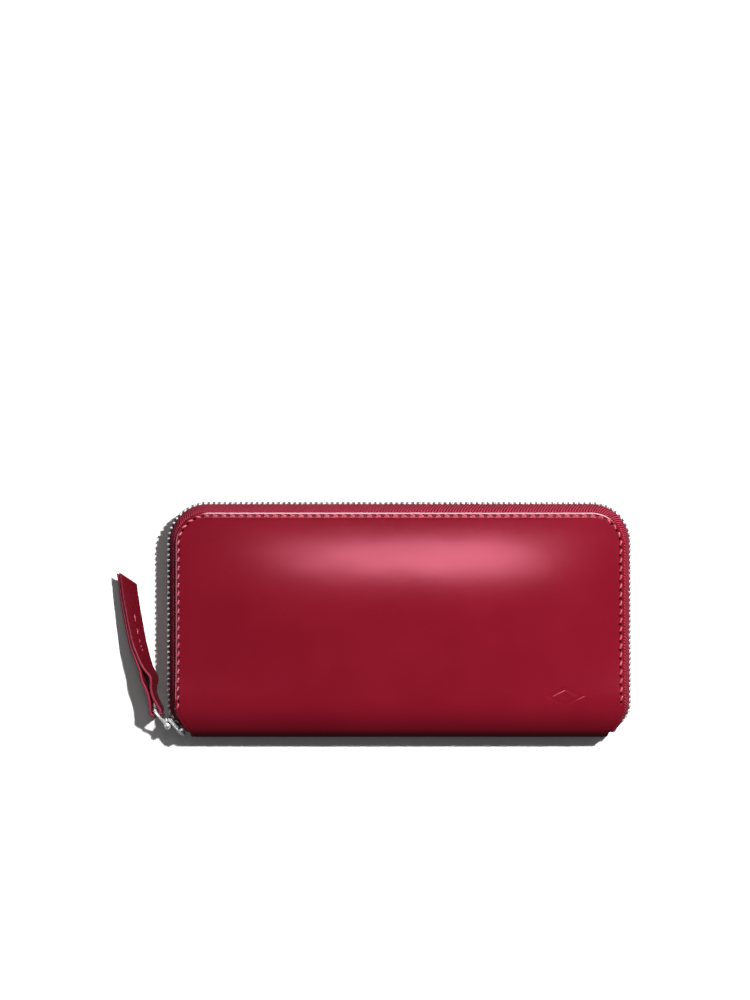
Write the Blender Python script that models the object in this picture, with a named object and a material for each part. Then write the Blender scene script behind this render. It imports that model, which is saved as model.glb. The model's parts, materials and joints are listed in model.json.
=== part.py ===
"""Long zip-around wallet with a coin pocket, built as separate pieces.

Units in the constants are millimetres; meshes are written in metres, +Z up.
The origin is the centre of the rear cover's flat outer face, +X runs along the
wallet, +Y from the folded spine to the zipped edge and +Z from rear to front.
"""

import math

import bmesh
import bpy
from mathutils import Vector

MM = 0.001

# ---- outline of the leather covers (plan view) ----
HALF_LENGTH = 94.1          # centre line to the side edge of a cover
TOP_EDGE = 45.4             # zipped long edge of a cover
CORNER_RADIUS = 13.5        # top corners
SPINE_HALF_LENGTH = 88.2    # the rolled spine is shorter than the covers
SIDE_CURVE_START = -37.0    # where the side edge begins to draw in to the spine

# ---- thickness (section view) ----
SPINE_RADIUS = 11.5
SPINE_CENTRE_Y = -38.5
MID_Z = SPINE_RADIUS        # height of the zip's parting plane
HINGE_Y = SPINE_CENTRE_Y - SPINE_RADIUS
EDGE_Z = 20.2               # front leather at the zipped edge
CROWN_Z = 24.0              # front leather at its highest
CROWN_Y = 4.0
REAR_EDGE_LIFT = 1.3        # the rear leather turns up at its edges
REAR_LIFT_WIDTH = 8.0
LEATHER = 1.2
BOARD = 0.7
LINING = 0.4
GAP = 0.3
SPINE_TURN = 89.2           # each half stops just short of the fold line
LINING_TURN = 88.6
BOARD_INSET = 8.0
LINING_INSET = 2.0
FACE_COLUMNS = (0.0, 0.3, 0.55, 0.75, 0.88, 0.95, 0.985, 1.0)

# ---- seam along the free edges ----
SEAM_INSET = 1.3
SEAM_WIDTH = 0.5
SEAM_RISE = 0.3             # the thread lies on the leather, clear by this much
SEAM_THICK = 0.3

# ---- zip ----
ZIP_HALF_LENGTH = 97.2
ZIP_TOP = 48.7
ZIP_CORNER_RADIUS = 16.0
TAIL_BEND_Y = -35.5         # the zip leaves the straight side here
TAIL_TURN = math.radians(42.0)
TAIL_BEND_RADIUS = 10.0
TAIL_LENGTH = 7.5
TAPE = 0.6
TAPE_TUCK = 6.0             # width of tape sewn in under the leather
TOOTH_PITCH = 2.28
TOOTH_WIDTH = 0.85
TOOTH_DEPTH = 2.2           # across the tape, wallet inside to outside
TOOTH_REACH = 0.45          # how far a tooth passes the parting plane
TOOTH_RAIL = 0.75
TEETH_BARE_LEFT = 3         # pitches without teeth at the slider's end
TEETH_BARE_RIGHT = 1        # pitches without teeth at the stop
STOP_SIZE = (2.2, 2.4, 2.8)     # along the zip, across it, and in height
TAB_SIZE = (8.0, 0.9, 9.0)
TAB_OUT = 1.7

# ---- pocket sheets ----
POCKET_HALF = 87.5
POCKET_BOTTOM = -35.0
POCKET_TOPS = (32.0, 20.0, 8.0)
POCKET_PITCH = 0.7
POCKET_SHEET = 0.4
CARD_BASE_TOP = 38.0
REAR_BASE_Z = 3.5
FRONT_BASE_Z = 16.7

# ---- gussets at both short ends ----
GUSSET_SHEET = 0.5
GUSSET_LOW = -29.0
GUSSET_HIGH = 14.0
GUSSET_OUT = 92.6           # edge sewn to the lining
GUSSET_IN = 89.4            # fold, at the parting plane

# ---- coin pouch ----
COIN_HALF = 84.0
COIN_BOTTOM = -33.0
COIN_TOP = 34.0
COIN_BACK_Z = 7.4
COIN_DEPTH = 4.8
COIN_WALL = 0.5
COIN_FRONT_Z = COIN_BACK_Z + COIN_WALL + COIN_DEPTH
COIN_MID_Z = COIN_BACK_Z + COIN_WALL + COIN_DEPTH / 2
COIN_BINDING = 2.0          # width of the strip between the walls
COIN_ZIP_HALF = 78.0
COIN_ZIP_Y = COIN_TOP + 0.7
COIN_TAPE = 0.5
COIN_TAPE_IN = 0.95         # edge of each tape from the middle of the zip
COIN_COIL = 0.7
COIN_COIL_IN = 0.15
COIN_COIL_OUT = 0.8
COIN_CHANNEL = 1.3
COIN_PLATE = 0.6
COIN_SLIDER_LENGTH = 7.0
COIN_SLIDER_HALF = 3.0
COIN_SLIDER_X = -COIN_ZIP_HALF - 1.2
COIN_PIN_Y = COIN_ZIP_Y + COIN_CHANNEL / 2 + COIN_PLATE + 0.9
COIN_PIN_HOLE = 0.75
COIN_LUG_RADIUS = 1.25
COIN_PULL_LENGTH = 9.0
COIN_PULL_HALF = 1.9
COIN_PULL_BAR = 0.4         # half thickness of the bar in the lug
COIN_PULL_RIM = 1.2         # half width of the other three sides

# ---- slider, link and pull ----
SLIDER_LENGTH = 10.4
SLIDER_MOUTH = 9.4          # width of the plates at the parting end
SLIDER_REAR = 8.0           # width of the plates at the closing end
SLIDER_PLATE = 1.0
SLIDER_CHANNEL = 3.4
SLIDER_FROM_BEND = 2.5      # centre of the slider past the end of the bend
POST_HALF = 0.9
PIN_RADIUS = 0.55
PIN_HOLE = 0.85
PIN_HEIGHT = 4.5            # pin axis above the middle of the teeth
PIN_BACK = 2.5              # pin axis behind the middle of the slider
CROWN_WIDTH = 3.0
LINK_REACH = 8.4
LINK_WIRE = 1.4
LINK_EAR_Z = 2.6
LINK_EAR = 1.35             # half width of the eyes on the pin
LINK_ARM_Z = 5.1
LINK_REST = math.radians(128.0)
STRAP_WIDTH = 8.0
STRAP_LEATHER = 1.3
STRAP_SPLIT = 0.35          # gap between the two leaves of the folded strap
STRAP_LOOP = LINK_WIRE / 2 + 0.5
STRAP_STEPS = 16
STRAP_SLANT = 3.0           # the cut end leans by this much
STRAP_SEAM = (0.50, 0.68)   # where the stitches lie, as shares of the strap
# Route of the strap's middle from the link's far bar: x, y, height, tilt in degrees.
STRAP_ROUTE = (
    (0.0, 0.0, 11.5, 0.0),
    (-2.3, 8.4, 11.3, 6.0),
    (-4.2, 15.7, 10.2, 18.0),
    (-6.9, 23.3, 8.6, 31.0),
    (-8.9, 29.7, 7.2, 40.0),
    (-12.2, 46.0, 5.0, 50.0),
    (-13.9, 58.0, 4.2, 54.0),
)

LEATHER_RED = (0.27, 0.012, 0.025)
LINING_RED = (0.16, 0.010, 0.020)
TAPE_RED = (0.33, 0.020, 0.040)
THREAD_RED = (0.45, 0.060, 0.090)
STEEL = (0.62, 0.62, 0.64)
BOARD_GREY = (0.45, 0.42, 0.38)


# ------------------------------------------------------------------ helpers

def clear_scene():
    for obj in list(bpy.data.objects):
        bpy.data.objects.remove(obj, do_unlink=True)


def material(name, color, roughness, metallic=0.0):
    """A Principled BSDF, shared by every piece of that finish."""
    mat = bpy.data.materials.get(name)
    if mat:
        return mat
    mat = bpy.data.materials.new(name)
    mat.use_nodes = True
    bsdf = mat.node_tree.nodes["Principled BSDF"]
    bsdf.inputs["Base Color"].default_value = (*color, 1.0)
    bsdf.inputs["Roughness"].default_value = roughness
    bsdf.inputs["Metallic"].default_value = metallic
    return mat


def leather():
    return material("smooth_leather", LEATHER_RED, 0.32)


def lining():
    return material("lining_cloth", LINING_RED, 0.7)


def tape_cloth():
    return material("zip_tape_cloth", TAPE_RED, 0.8)


def thread():
    return material("sewing_thread", THREAD_RED, 0.6)


def steel():
    return material("plated_metal", STEEL, 0.25, 1.0)


def board():
    return material("stiffener_board", BOARD_GREY, 0.9)


def add_piece(name, verts, faces, mat, origin=(0.0, 0.0, 0.0)):
    """One closed solid from points in millimetres; its origin may be a joint axis."""
    home = Vector(origin)
    mesh = bpy.data.meshes.new(name)
    mesh.from_pydata([(Vector(v) - home) * MM for v in verts], [], faces)
    work = bmesh.new()
    work.from_mesh(mesh)
    bmesh.ops.recalc_face_normals(work, faces=work.faces)
    work.to_mesh(mesh)
    work.free()
    mesh.materials.append(mat)
    mesh.shade_smooth()
    mesh.set_sharp_from_angle(angle=math.radians(35))
    obj = bpy.data.objects.new(name, mesh)
    obj.location = home * MM
    bpy.context.scene.collection.objects.link(obj)
    return obj


def grid_faces(rows, columns, start=0, wrap=False):
    """Quads of a grid of points stored row by row."""
    faces = []
    steps = columns if wrap else columns - 1
    for r in range(rows - 1):
        for c in range(steps):
            a = start + r * columns + c
            b = start + r * columns + (c + 1) % columns
            faces.append((a, b, b + columns, a + columns))
    return faces


def slab_from_grids(upper, lower):
    """Close two matching point grids into a slab with edge walls."""
    rows = len(upper)
    columns = len(upper[0])
    verts = [p for row in upper for p in row] + [p for row in lower for p in row]
    offset = rows * columns
    faces = grid_faces(rows, columns) + grid_faces(rows, columns, offset)
    rim = [(0, c) for c in range(columns)]
    rim += [(r, columns - 1) for r in range(1, rows)]
    rim += [(rows - 1, c) for c in range(columns - 2, -1, -1)]
    rim += [(r, 0) for r in range(rows - 2, 0, -1)]
    ids = [r * columns + c for r, c in rim]
    for i, a in enumerate(ids):
        b = ids[(i + 1) % len(ids)]
        faces.append((a, b, b + offset, a + offset))
    return verts, faces


def tube_from_sections(sections):
    """Join closed sections of equal count into a solid with flat ends."""
    count = len(sections[0])
    verts = [p for section in sections for p in section]
    faces = grid_faces(len(sections), count, wrap=True)
    faces.append(tuple(range(count)))
    faces.append(tuple(range(len(verts) - count, len(verts))))
    return verts, faces


def ring_from_sections(sections):
    """Join closed sections of equal count into a closed ring."""
    count = len(sections[0])
    verts = [p for section in sections for p in section]
    faces = grid_faces(len(sections), count, wrap=True)
    last = len(verts) - count
    for c in range(count):
        d = (c + 1) % count
        faces.append((last + c, last + d, d, c))
    return verts, faces


def prism(outline, z_low, z_high):
    """Upright prism over a plan outline."""
    n = len(outline)
    verts = [(x, y, z_low) for x, y in outline] + [(x, y, z_high) for x, y in outline]
    faces = [tuple(range(n)), tuple(range(n, 2 * n))]
    for i in range(n):
        j = (i + 1) % n
        faces.append((i, j, j + n, i + n))
    return verts, faces


def rounded_outline(half, low, high, r_low, r_high, steps=5):
    """Plan outline with rounded corners, counter-clockwise from lower right."""
    points = []
    corners = (
        (half - r_low, low + r_low, r_low, -90),
        (half - r_high, high - r_high, r_high, 0),
        (-half + r_high, high - r_high, r_high, 90),
        (-half + r_low, low + r_low, r_low, 180),
    )
    for cx, cy, radius, start in corners:
        for k in range(steps + 1):
            angle = math.radians(start + 90 * k / steps)
            points.append((cx + radius * math.cos(angle), cy + radius * math.sin(angle)))
    return points


def ease(t):
    t = min(max(t, 0.0), 1.0)
    return t * t * (3 - 2 * t)


# ------------------------------------------------------- leather surfaces

def side_half_width(y):
    """Half length of a cover at a distance y from the middle."""
    if y > TOP_EDGE - CORNER_RADIUS:
        drop = y - (TOP_EDGE - CORNER_RADIUS)
        return HALF_LENGTH - CORNER_RADIUS + math.sqrt(max(CORNER_RADIUS**2 - drop**2, 0.0))
    if y < SIDE_CURVE_START:
        t = (SIDE_CURVE_START - y) / (SIDE_CURVE_START - HINGE_Y)
        return HALF_LENGTH - (HALF_LENGTH - SPINE_HALF_LENGTH) * min(1.0, 1.15 * t) ** 1.5
    return HALF_LENGTH


def front_height(x, y):
    """Outer height of the padded front cover."""
    spine_z = MID_Z + SPINE_RADIUS
    toward_top = ease((y - CROWN_Y) / (TOP_EDGE - CROWN_Y))
    ridge = CROWN_Z - (CROWN_Z - EDGE_Z) * toward_top
    if y < CROWN_Y:
        ridge = CROWN_Z - (CROWN_Z - spine_z) * ease((CROWN_Y - y) / (CROWN_Y - SPINE_CENTRE_Y))
    side = EDGE_Z + (spine_z - 0.4 - EDGE_Z) * ease((-14.0 - y) / (-14.0 - SPINE_CENTRE_Y))
    side = min(side, ridge)
    across = min(abs(x) / max(side_half_width(y), 1.0), 1.0)
    return side + (ridge - side) * (1.0 - across**3.2)


def rear_height(x, y):
    """Outer height of the rear cover: flat, turned up near its free edges."""
    inset = min(TOP_EDGE - y, HALF_LENGTH - abs(x))
    cx = HALF_LENGTH - CORNER_RADIUS
    cy = TOP_EDGE - CORNER_RADIUS
    if abs(x) > cx and y > cy:
        inset = CORNER_RADIUS - math.hypot(abs(x) - cx, y - cy)
    t = max(0.0, 1.0 - inset / REAR_LIFT_WIDTH)
    return REAR_EDGE_LIFT * t * t


def cover_rows(inset):
    """Distances y of the grid rows: round corner first, then the open face."""
    rows = []
    top = TOP_EDGE - inset
    radius = CORNER_RADIUS - inset
    for k in range(6):
        rows.append(top - radius + radius * math.cos(math.radians(90 * k / 5)))
    low = SPINE_CENTRE_Y
    for k in range(1, 7):
        rows.append(rows[5] + (low - rows[5]) * k / 6)
    return rows


def face_columns():
    """Shares of the half length, finer towards both ends."""
    return [-u for u in reversed(FACE_COLUMNS[1:])] + list(FACE_COLUMNS)


def sheet_layer(side, depth, inset, turn_degrees):
    """Grid of points at a depth below the outer surface of one cover.

    side is +1 for the front and -1 for the rear. After the face the sheet turns
    round the spine by turn_degrees.
    """
    grid = []
    columns = face_columns()
    for y in cover_rows(inset):
        if y > TOP_EDGE - CORNER_RADIUS:
            radius = CORNER_RADIUS - inset
            drop = y - (TOP_EDGE - CORNER_RADIUS)
            half = HALF_LENGTH - CORNER_RADIUS + math.sqrt(max(radius**2 - drop**2, 0.0))
        else:
            half = side_half_width(y) - inset
        row = []
        for u in columns:
            x = u * half
            z = front_height(x, y) - depth if side > 0 else rear_height(x, y) + depth
            row.append((x, y, z))
        grid.append(row)
    steps = 6
    for k in range(1, steps + 1) if turn_degrees else ():
        angle = math.radians(turn_degrees * k / steps)
        radius = SPINE_RADIUS - depth
        y = SPINE_CENTRE_Y - radius * math.sin(angle)
        outer_y = SPINE_CENTRE_Y - SPINE_RADIUS * math.sin(angle)
        half = side_half_width(outer_y) - inset
        row = []
        for u in columns:
            x = u * half
            start = front_height(x, SPINE_CENTRE_Y) - MID_Z if side > 0 else MID_Z
            reach = (start - depth) * math.cos(angle)
            row.append((x, y, MID_Z + side * reach))
        grid.append(row)
    return grid


def cover_piece(name, side, depth, thickness, inset, turn, mat):
    outer = sheet_layer(side, depth, inset, turn)
    inner = sheet_layer(side, depth + thickness, inset, turn)
    verts, faces = slab_from_grids(outer, inner)
    return add_piece(name, verts, faces, mat)


def build_covers():
    for side, half in ((-1, "rear"), (1, "front")):
        cover_piece(f"{half}_cover", side, 0.0, LEATHER, 0.0, SPINE_TURN, leather())
        depth = LEATHER + GAP
        cover_piece(f"{half}_board", side, depth, BOARD, BOARD_INSET, 0, board())
        depth += BOARD + 2 * GAP
        cover_piece(f"{half}_lining", side, depth, LINING, LINING_INSET, LINING_TURN, lining())


# ------------------------------------------------------------- zip path

def arc_stations(cx, cy, radius, start, end, steps):
    """Stations (x, y, normal x, normal y) along a plan arc."""
    stations = []
    for k in range(steps + 1):
        a = start + (end - start) * k / steps
        nx, ny = math.cos(a), math.sin(a)
        stations.append((cx + radius * nx, cy + radius * ny, nx, ny))
    return stations


def zip_path(step):
    """Plan path of the zip's middle with outward normals, left tail to right tail."""
    corner_x = ZIP_HALF_LENGTH - ZIP_CORNER_RADIUS
    corner_y = ZIP_TOP - ZIP_CORNER_RADIUS
    right = [(0.0, ZIP_TOP, 0.0, 1.0)]
    right += arc_stations(corner_x, corner_y, ZIP_CORNER_RADIUS, math.pi / 2, 0.0, 8)
    right += arc_stations(ZIP_HALF_LENGTH - TAIL_BEND_RADIUS, TAIL_BEND_Y,
                          TAIL_BEND_RADIUS, 0.0, -TAIL_TURN, 5)
    x, y, nx, ny = right[-1]
    right.append((x + TAIL_LENGTH * ny, y - TAIL_LENGTH * nx, nx, ny))
    left = [(-px, py, -qx, qy) for px, py, qx, qy in reversed(right[1:])]
    return resample(left + right, step)


def resample(points, step):
    """Evenly spaced points along a plan path, with interpolated normals."""
    lengths = [0.0]
    for a, b in zip(points, points[1:]):
        lengths.append(lengths[-1] + math.hypot(b[0] - a[0], b[1] - a[1]))
    count = max(2, round(lengths[-1] / step))
    out = []
    index = 0
    for k in range(count + 1):
        target = lengths[-1] * k / count
        while index < len(points) - 2 and lengths[index + 1] < target:
            index += 1
        span = lengths[index + 1] - lengths[index]
        t = (target - lengths[index]) / span
        a, b = points[index], points[index + 1]
        mix = [a[i] + (b[i] - a[i]) * t for i in range(4)]
        size = math.hypot(mix[2], mix[3])
        out.append((mix[0], mix[1], mix[2] / size, mix[3] / size))
    return out


def teeth_row(name, side):
    """Comb strip: a rail with one tooth per pitch that passes the parting plane."""
    path = zip_path(TOOTH_PITCH / 4)
    rail_far = MID_Z + side * (TOOTH_REACH + GAP + TOOTH_RAIL)
    root = MID_Z + side * (TOOTH_REACH + GAP)
    tip = MID_Z - side * TOOTH_REACH
    shift = 0 if side > 0 else 2
    outline = []
    back = []
    first = TEETH_BARE_LEFT
    last = (len(path) - 5) // 4 - TEETH_BARE_RIGHT
    for k in range(first, last):
        base = 4 * k + shift
        for offset, z in ((-1, root), (-1, tip), (1, tip), (1, root)):
            outline.append((base, offset, z))
        back.append((base, 0, rail_far))
    loop = [tooth_point(path, *p) for p in outline]
    spine = [tooth_point(path, *p) for p in back]
    spine[0] = tooth_point(path, 4 * first + shift, -1, rail_far)
    spine[-1] = tooth_point(path, 4 * (last - 1) + shift, 1, rail_far)
    return comb_solid(name, loop, spine)


def tooth_point(path, base, offset, z):
    """Inner and outer point of the comb beside station base."""
    x, y, nx, ny = path[base]
    along = offset * TOOTH_WIDTH / 2
    x += ny * along
    y -= nx * along
    half = TOOTH_DEPTH / 2
    return ((x - nx * half, y - ny * half, z), (x + nx * half, y + ny * half, z))


def comb_solid(name, loop, spine):
    """Close the comb: two comb faces, the toothed edge and the rail's back edge."""
    verts = [p for pair in loop for p in pair] + [p for pair in spine for p in pair]
    base = 2 * len(loop)
    teeth = len(spine)
    faces = []
    for i in range(len(loop) - 1):
        faces.append((2 * i, 2 * i + 2, 2 * i + 3, 2 * i + 1))
    for k in range(teeth - 1):
        faces.append((base + 2 * k, base + 2 * k + 1, base + 2 * k + 3, base + 2 * k + 2))
    for layer in (0, 1):
        for k in range(teeth):
            t = [2 * (4 * k + j) + layer for j in range(4)]
            s = base + 2 * k + layer
            faces.append((t[0], t[1], t[2], t[3]))
            faces.append((t[0], t[3], s))
            if k < teeth - 1:
                n = 2 * (4 * (k + 1)) + layer
                faces.append((t[3], n, s + 2, s))
    faces.append((0, 1, base + 1, base))
    end = 2 * (len(loop) - 1)
    tail = base + 2 * (teeth - 1)
    faces.append((end, end + 1, tail + 1, tail))
    return add_piece(name, verts, faces, steel())


def tape_section(side, station):
    """Five points of the tape's middle from the tuck under the leather to the teeth."""
    x, y, nx, ny = station
    reach = ZIP_HALF_LENGTH - HALF_LENGTH
    depth = LEATHER + GAP + TAPE / 2
    plan = []
    for back in (reach + TAPE_TUCK, reach + 0.6, 1.1, 0.0, 0.0):
        plan.append((x - nx * back, y - ny * back))
    if y < TAIL_BEND_Y:
        fade = min((TAIL_BEND_Y - y) / 12.0, 1.0)
        edge_y = y + 1.2 * fade
        edge_x = side_half_width(edge_y) - 0.6
        hand = math.copysign(1.0, x)
        plan[0] = (hand * (edge_x - TAPE_TUCK + 0.6 + 3.5 * fade), edge_y + 1.0 * fade)
        plan[1] = (hand * edge_x, edge_y)
    heights = [layer_height(side, px, py, depth) for px, py in plan[:2]]
    stop = MID_Z + side * (TOOTH_REACH + GAP + TOOTH_RAIL + 0.2)
    fall = heights[1] - stop
    heights.append(heights[1] - side * min(1.0, 0.3 * abs(fall)))
    heights.append(heights[1] - side * min(3.0, 0.7 * abs(fall)))
    heights.append(stop)
    return [(p[0], p[1], z) for p, z in zip(plan, heights)]


def layer_height(side, x, y, depth):
    """Height of a layer below the outer surface, on the face or round the spine."""
    face_y = max(y, SPINE_CENTRE_Y)
    if side > 0:
        z = front_height(x, face_y) - depth
    else:
        z = rear_height(x, face_y) + depth
    if y < SPINE_CENTRE_Y:
        share = min((SPINE_CENTRE_Y - y) / (SPINE_RADIUS - depth), 0.97)
        z = MID_Z + (z - MID_Z) * math.sqrt(1.0 - share**2)
    return z


def thicken(points, normal_hint, amount):
    """Offset an open 3-D polyline to both sides inside its own plane."""
    inner, outer = [], []
    for i, p in enumerate(points):
        before = Vector(points[max(i - 1, 0)])
        after = Vector(points[min(i + 1, len(points) - 1)])
        along = (after - before).normalized()
        side = normal_hint.cross(along).normalized()
        inner.append(tuple(Vector(p) - side * amount))
        outer.append(tuple(Vector(p) + side * amount))
    return outer + inner[::-1]


def zip_tape(name, side):
    path = zip_path(6.0)
    sections = []
    for station in path:
        across = Vector((station[3], -station[2], 0.0))
        sections.append(thicken(tape_section(side, station), across, TAPE / 2))
    verts, faces = tube_from_sections(sections)
    return add_piece(name, verts, faces, tape_cloth())


def build_zip():
    for side, half in ((-1, "rear"), (1, "front")):
        zip_tape(f"{half}_zip_tape", side)
        teeth_row(f"{half}_teeth", side)


def path_point(distance):
    """Station of the zip path at a distance from its left tail end."""
    fine = zip_path(0.1)
    return fine[round(distance / 0.1)]


def zip_block(name, station, size, mat, out=0.0):
    """Small block standing on the zip path: along the path, across it and in height."""
    x, y, nx, ny = station
    along, across, height = size
    section = []
    for n, z in ((-1, -1), (1, -1), (1, 1), (-1, 1)):
        section.append((out + n * across / 2, MID_Z + z * height / 2))
    sections = []
    for t in (-along / 2, along / 2):
        sections.append([(x + ny * t + nx * n, y - nx * t + ny * n, z) for n, z in section])
    verts, faces = tube_from_sections(sections)
    return add_piece(name, verts, faces, mat)


def build_zip_ends():
    """Metal stop at the closing end and the leather tab that covers the tape's end."""
    path = zip_path(0.5)
    stop = zip_block("zip_bottom_stop", path[-4], STOP_SIZE, steel())
    soften(stop, 0.25)
    tab = zip_block("zip_end_tab", path[-9], TAB_SIZE, leather(), out=TAB_OUT)
    soften(tab, 0.3)


def soften(obj, width):
    """Rounded edges kept as a modifier."""
    bevel = obj.modifiers.new("edge_round", "BEVEL")
    bevel.width = width * MM
    bevel.segments = 1
    bevel.limit_method = "ANGLE"


# ---------------------------------------------------------- soft inside

def flat_sheet(name, half, low, high, z_low, thickness, mat, radius=4.0):
    outline = rounded_outline(half, low, high, 1.5, radius, steps=3)
    verts, faces = prism(outline, z_low, z_low + thickness)
    return add_piece(name, verts, faces, mat)


def build_card_pockets():
    """Card base and three stepped pockets on each side, mouths towards the zip."""
    flat_sheet("rear_card_base", POCKET_HALF, POCKET_BOTTOM, CARD_BASE_TOP,
               REAR_BASE_Z, POCKET_SHEET, lining())
    flat_sheet("front_card_base", POCKET_HALF, POCKET_BOTTOM, CARD_BASE_TOP,
               FRONT_BASE_Z - POCKET_SHEET, POCKET_SHEET, lining())
    for k, top in enumerate(POCKET_TOPS, start=1):
        rise = k * POCKET_PITCH
        flat_sheet(f"rear_card_pocket_{k}", POCKET_HALF, POCKET_BOTTOM, top,
                   REAR_BASE_Z + rise, POCKET_SHEET, leather())
        flat_sheet(f"front_card_pocket_{k}", POCKET_HALF, POCKET_BOTTOM, top,
                   FRONT_BASE_Z - POCKET_SHEET - rise, POCKET_SHEET, leather())


def gusset(name, side, hand):
    """One leaf of a side gusset, from the lining to the fold."""
    depth = LEATHER + BOARD + LINING + 4 * GAP + 0.2
    fold_z = MID_Z + side * 0.4
    half = GUSSET_SHEET / 2
    sections = []
    for y, share in ((GUSSET_LOW, 0.55), (GUSSET_LOW + 8, 1.0), (GUSSET_HIGH - 14, 1.0),
                     (GUSSET_HIGH, 0.3)):
        fold_x = GUSSET_OUT - (GUSSET_OUT - GUSSET_IN) * share
        sewn_z = layer_height(side, GUSSET_OUT, y, depth)
        section = [(GUSSET_OUT - half, sewn_z), (GUSSET_OUT + half, sewn_z),
                   (fold_x + half, fold_z), (fold_x - half, fold_z)]
        sections.append([(hand * x, y, z) for x, z in section])
    verts, faces = tube_from_sections(sections)
    return add_piece(name, verts, faces, lining())


def build_gussets():
    for side, half in ((-1, "rear"), (1, "front")):
        for hand, word in ((-1, "left"), (1, "right")):
            gusset(f"{half}_gusset_{word}", side, hand)


def seam_thread(name, side):
    """The line of stitching along the three free edges of one cover."""
    sections = []
    for x, y, nx, ny in zip_path(5.0):
        if y < SIDE_CURVE_START - 0.5:
            continue
        back = ZIP_HALF_LENGTH - HALF_LENGTH + SEAM_INSET
        section = []
        top = SEAM_RISE + SEAM_THICK
        for n, rise in ((-1, SEAM_RISE), (1, SEAM_RISE), (1, top), (-1, top)):
            px = x - nx * (back + n * SEAM_WIDTH / 2)
            py = y - ny * (back + n * SEAM_WIDTH / 2)
            base = front_height(px, py) if side > 0 else rear_height(px, py)
            section.append((px, py, base + side * rise))
        sections.append(section)
    verts, faces = tube_from_sections(sections)
    return add_piece(name, verts, faces, thread())


def build_seams():
    seam_thread("rear_seam_thread", -1)
    seam_thread("front_seam_thread", 1)


# ----------------------------------------------------------- coin pouch

def box_solid(low, high):
    corners = []
    for z in (low[2], high[2]):
        for x, y in ((low[0], low[1]), (high[0], low[1]), (high[0], high[1]), (low[0], high[1])):
            corners.append((x, y, z))
    faces = [(0, 1, 2, 3), (4, 5, 6, 7), (0, 1, 5, 4), (1, 2, 6, 5), (2, 3, 7, 6), (3, 0, 4, 7)]
    return corners, faces


def coin_walls():
    for name, z in (("coin_wall_rear", COIN_BACK_Z), ("coin_wall_front", COIN_FRONT_Z)):
        flat_sheet(name, COIN_HALF, COIN_BOTTOM, COIN_TOP, z, COIN_WALL, lining(), radius=2.0)


def coin_binding():
    """U-shaped strip that joins the two walls along the bottom and both sides."""
    outer = COIN_HALF - 0.5
    inner = outer - COIN_BINDING
    low = COIN_BOTTOM + 0.5
    high = COIN_TOP - 1.5
    outline = [(-outer, high), (-outer, low), (outer, low), (outer, high),
               (inner, high), (inner, low + COIN_BINDING),
               (-inner, low + COIN_BINDING), (-inner, high)]
    z_low = COIN_BACK_Z + COIN_WALL + GAP
    verts, faces = prism(outline, z_low, z_low + COIN_DEPTH - 2 * GAP)
    add_piece("coin_binding", verts, faces, lining())


def coin_zip():
    for side, half in ((-1, "rear"), (1, "front")):
        near = COIN_MID_Z + side * COIN_TAPE_IN
        far = COIN_MID_Z + side * (COIN_DEPTH / 2 + COIN_WALL)
        low, high = min(near, far), max(near, far)
        y = COIN_TOP + 0.3
        verts, faces = box_solid((-COIN_HALF + 1, y, low), (COIN_HALF - 1, y + COIN_TAPE, high))
        add_piece(f"coin_zip_tape_{half}", verts, faces, tape_cloth())
        near = COIN_MID_Z + side * COIN_COIL_IN
        far = COIN_MID_Z + side * COIN_COIL_OUT
        low, high = min(near, far), max(near, far)
        y = COIN_ZIP_Y - COIN_COIL / 2
        verts, faces = box_solid((-COIN_ZIP_HALF, y, low), (COIN_ZIP_HALF, y + COIN_COIL, high))
        add_piece(f"coin_teeth_{half}", verts, faces, steel())


def annulus_prism(centre, hole, outer_points, half_width):
    """Lug in the plan plane: an outline round a round hole, extruded along Z."""
    count = len(outer_points)
    verts = []
    for z in (-half_width, half_width):
        for x, y in outer_points:
            verts.append((x, y, z))
        for k in range(count):
            a = 2 * math.pi * k / count
            verts.append((centre[0] + hole * math.cos(a), centre[1] + hole * math.sin(a), z))
    faces = []
    for k in range(count):
        j = (k + 1) % count
        faces.append((k, j, count + j, count + k))
        faces.append((2 * count + k, 2 * count + j, 3 * count + j, 3 * count + k))
        faces.append((k, j, 2 * count + j, 2 * count + k))
        faces.append((count + k, count + j, 3 * count + j, 3 * count + k))
    return verts, faces


def lug_outline(centre, base_y, half_foot, radius, count=12):
    """Points round a lug: a round head over a foot that meets a plate at base_y."""
    points = []
    for k in range(count):
        a = 2 * math.pi * k / count
        x = centre[0] + radius * math.cos(a)
        y = centre[1] + radius * math.sin(a)
        if math.sin(a) < -0.4:
            reach = min(1.0, 2 * abs(math.cos(a)))
            x = centre[0] + half_foot * math.copysign(reach, math.cos(a))
            y = base_y
        points.append((x, y))
    return points


def add_operand(owner, name, verts, faces, operation):
    """Hidden solid that a Boolean modifier joins to, or cuts from, its owner."""
    part = add_piece(name, verts, faces, owner.data.materials[0])
    part.location = owner.location
    part.rotation_euler = owner.rotation_euler
    part.hide_render = True
    part.display_type = "WIRE"
    step = owner.modifiers.new(name, "BOOLEAN")
    step.operation = operation
    step.object = part
    step.solver = "EXACT"
    return part


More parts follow.
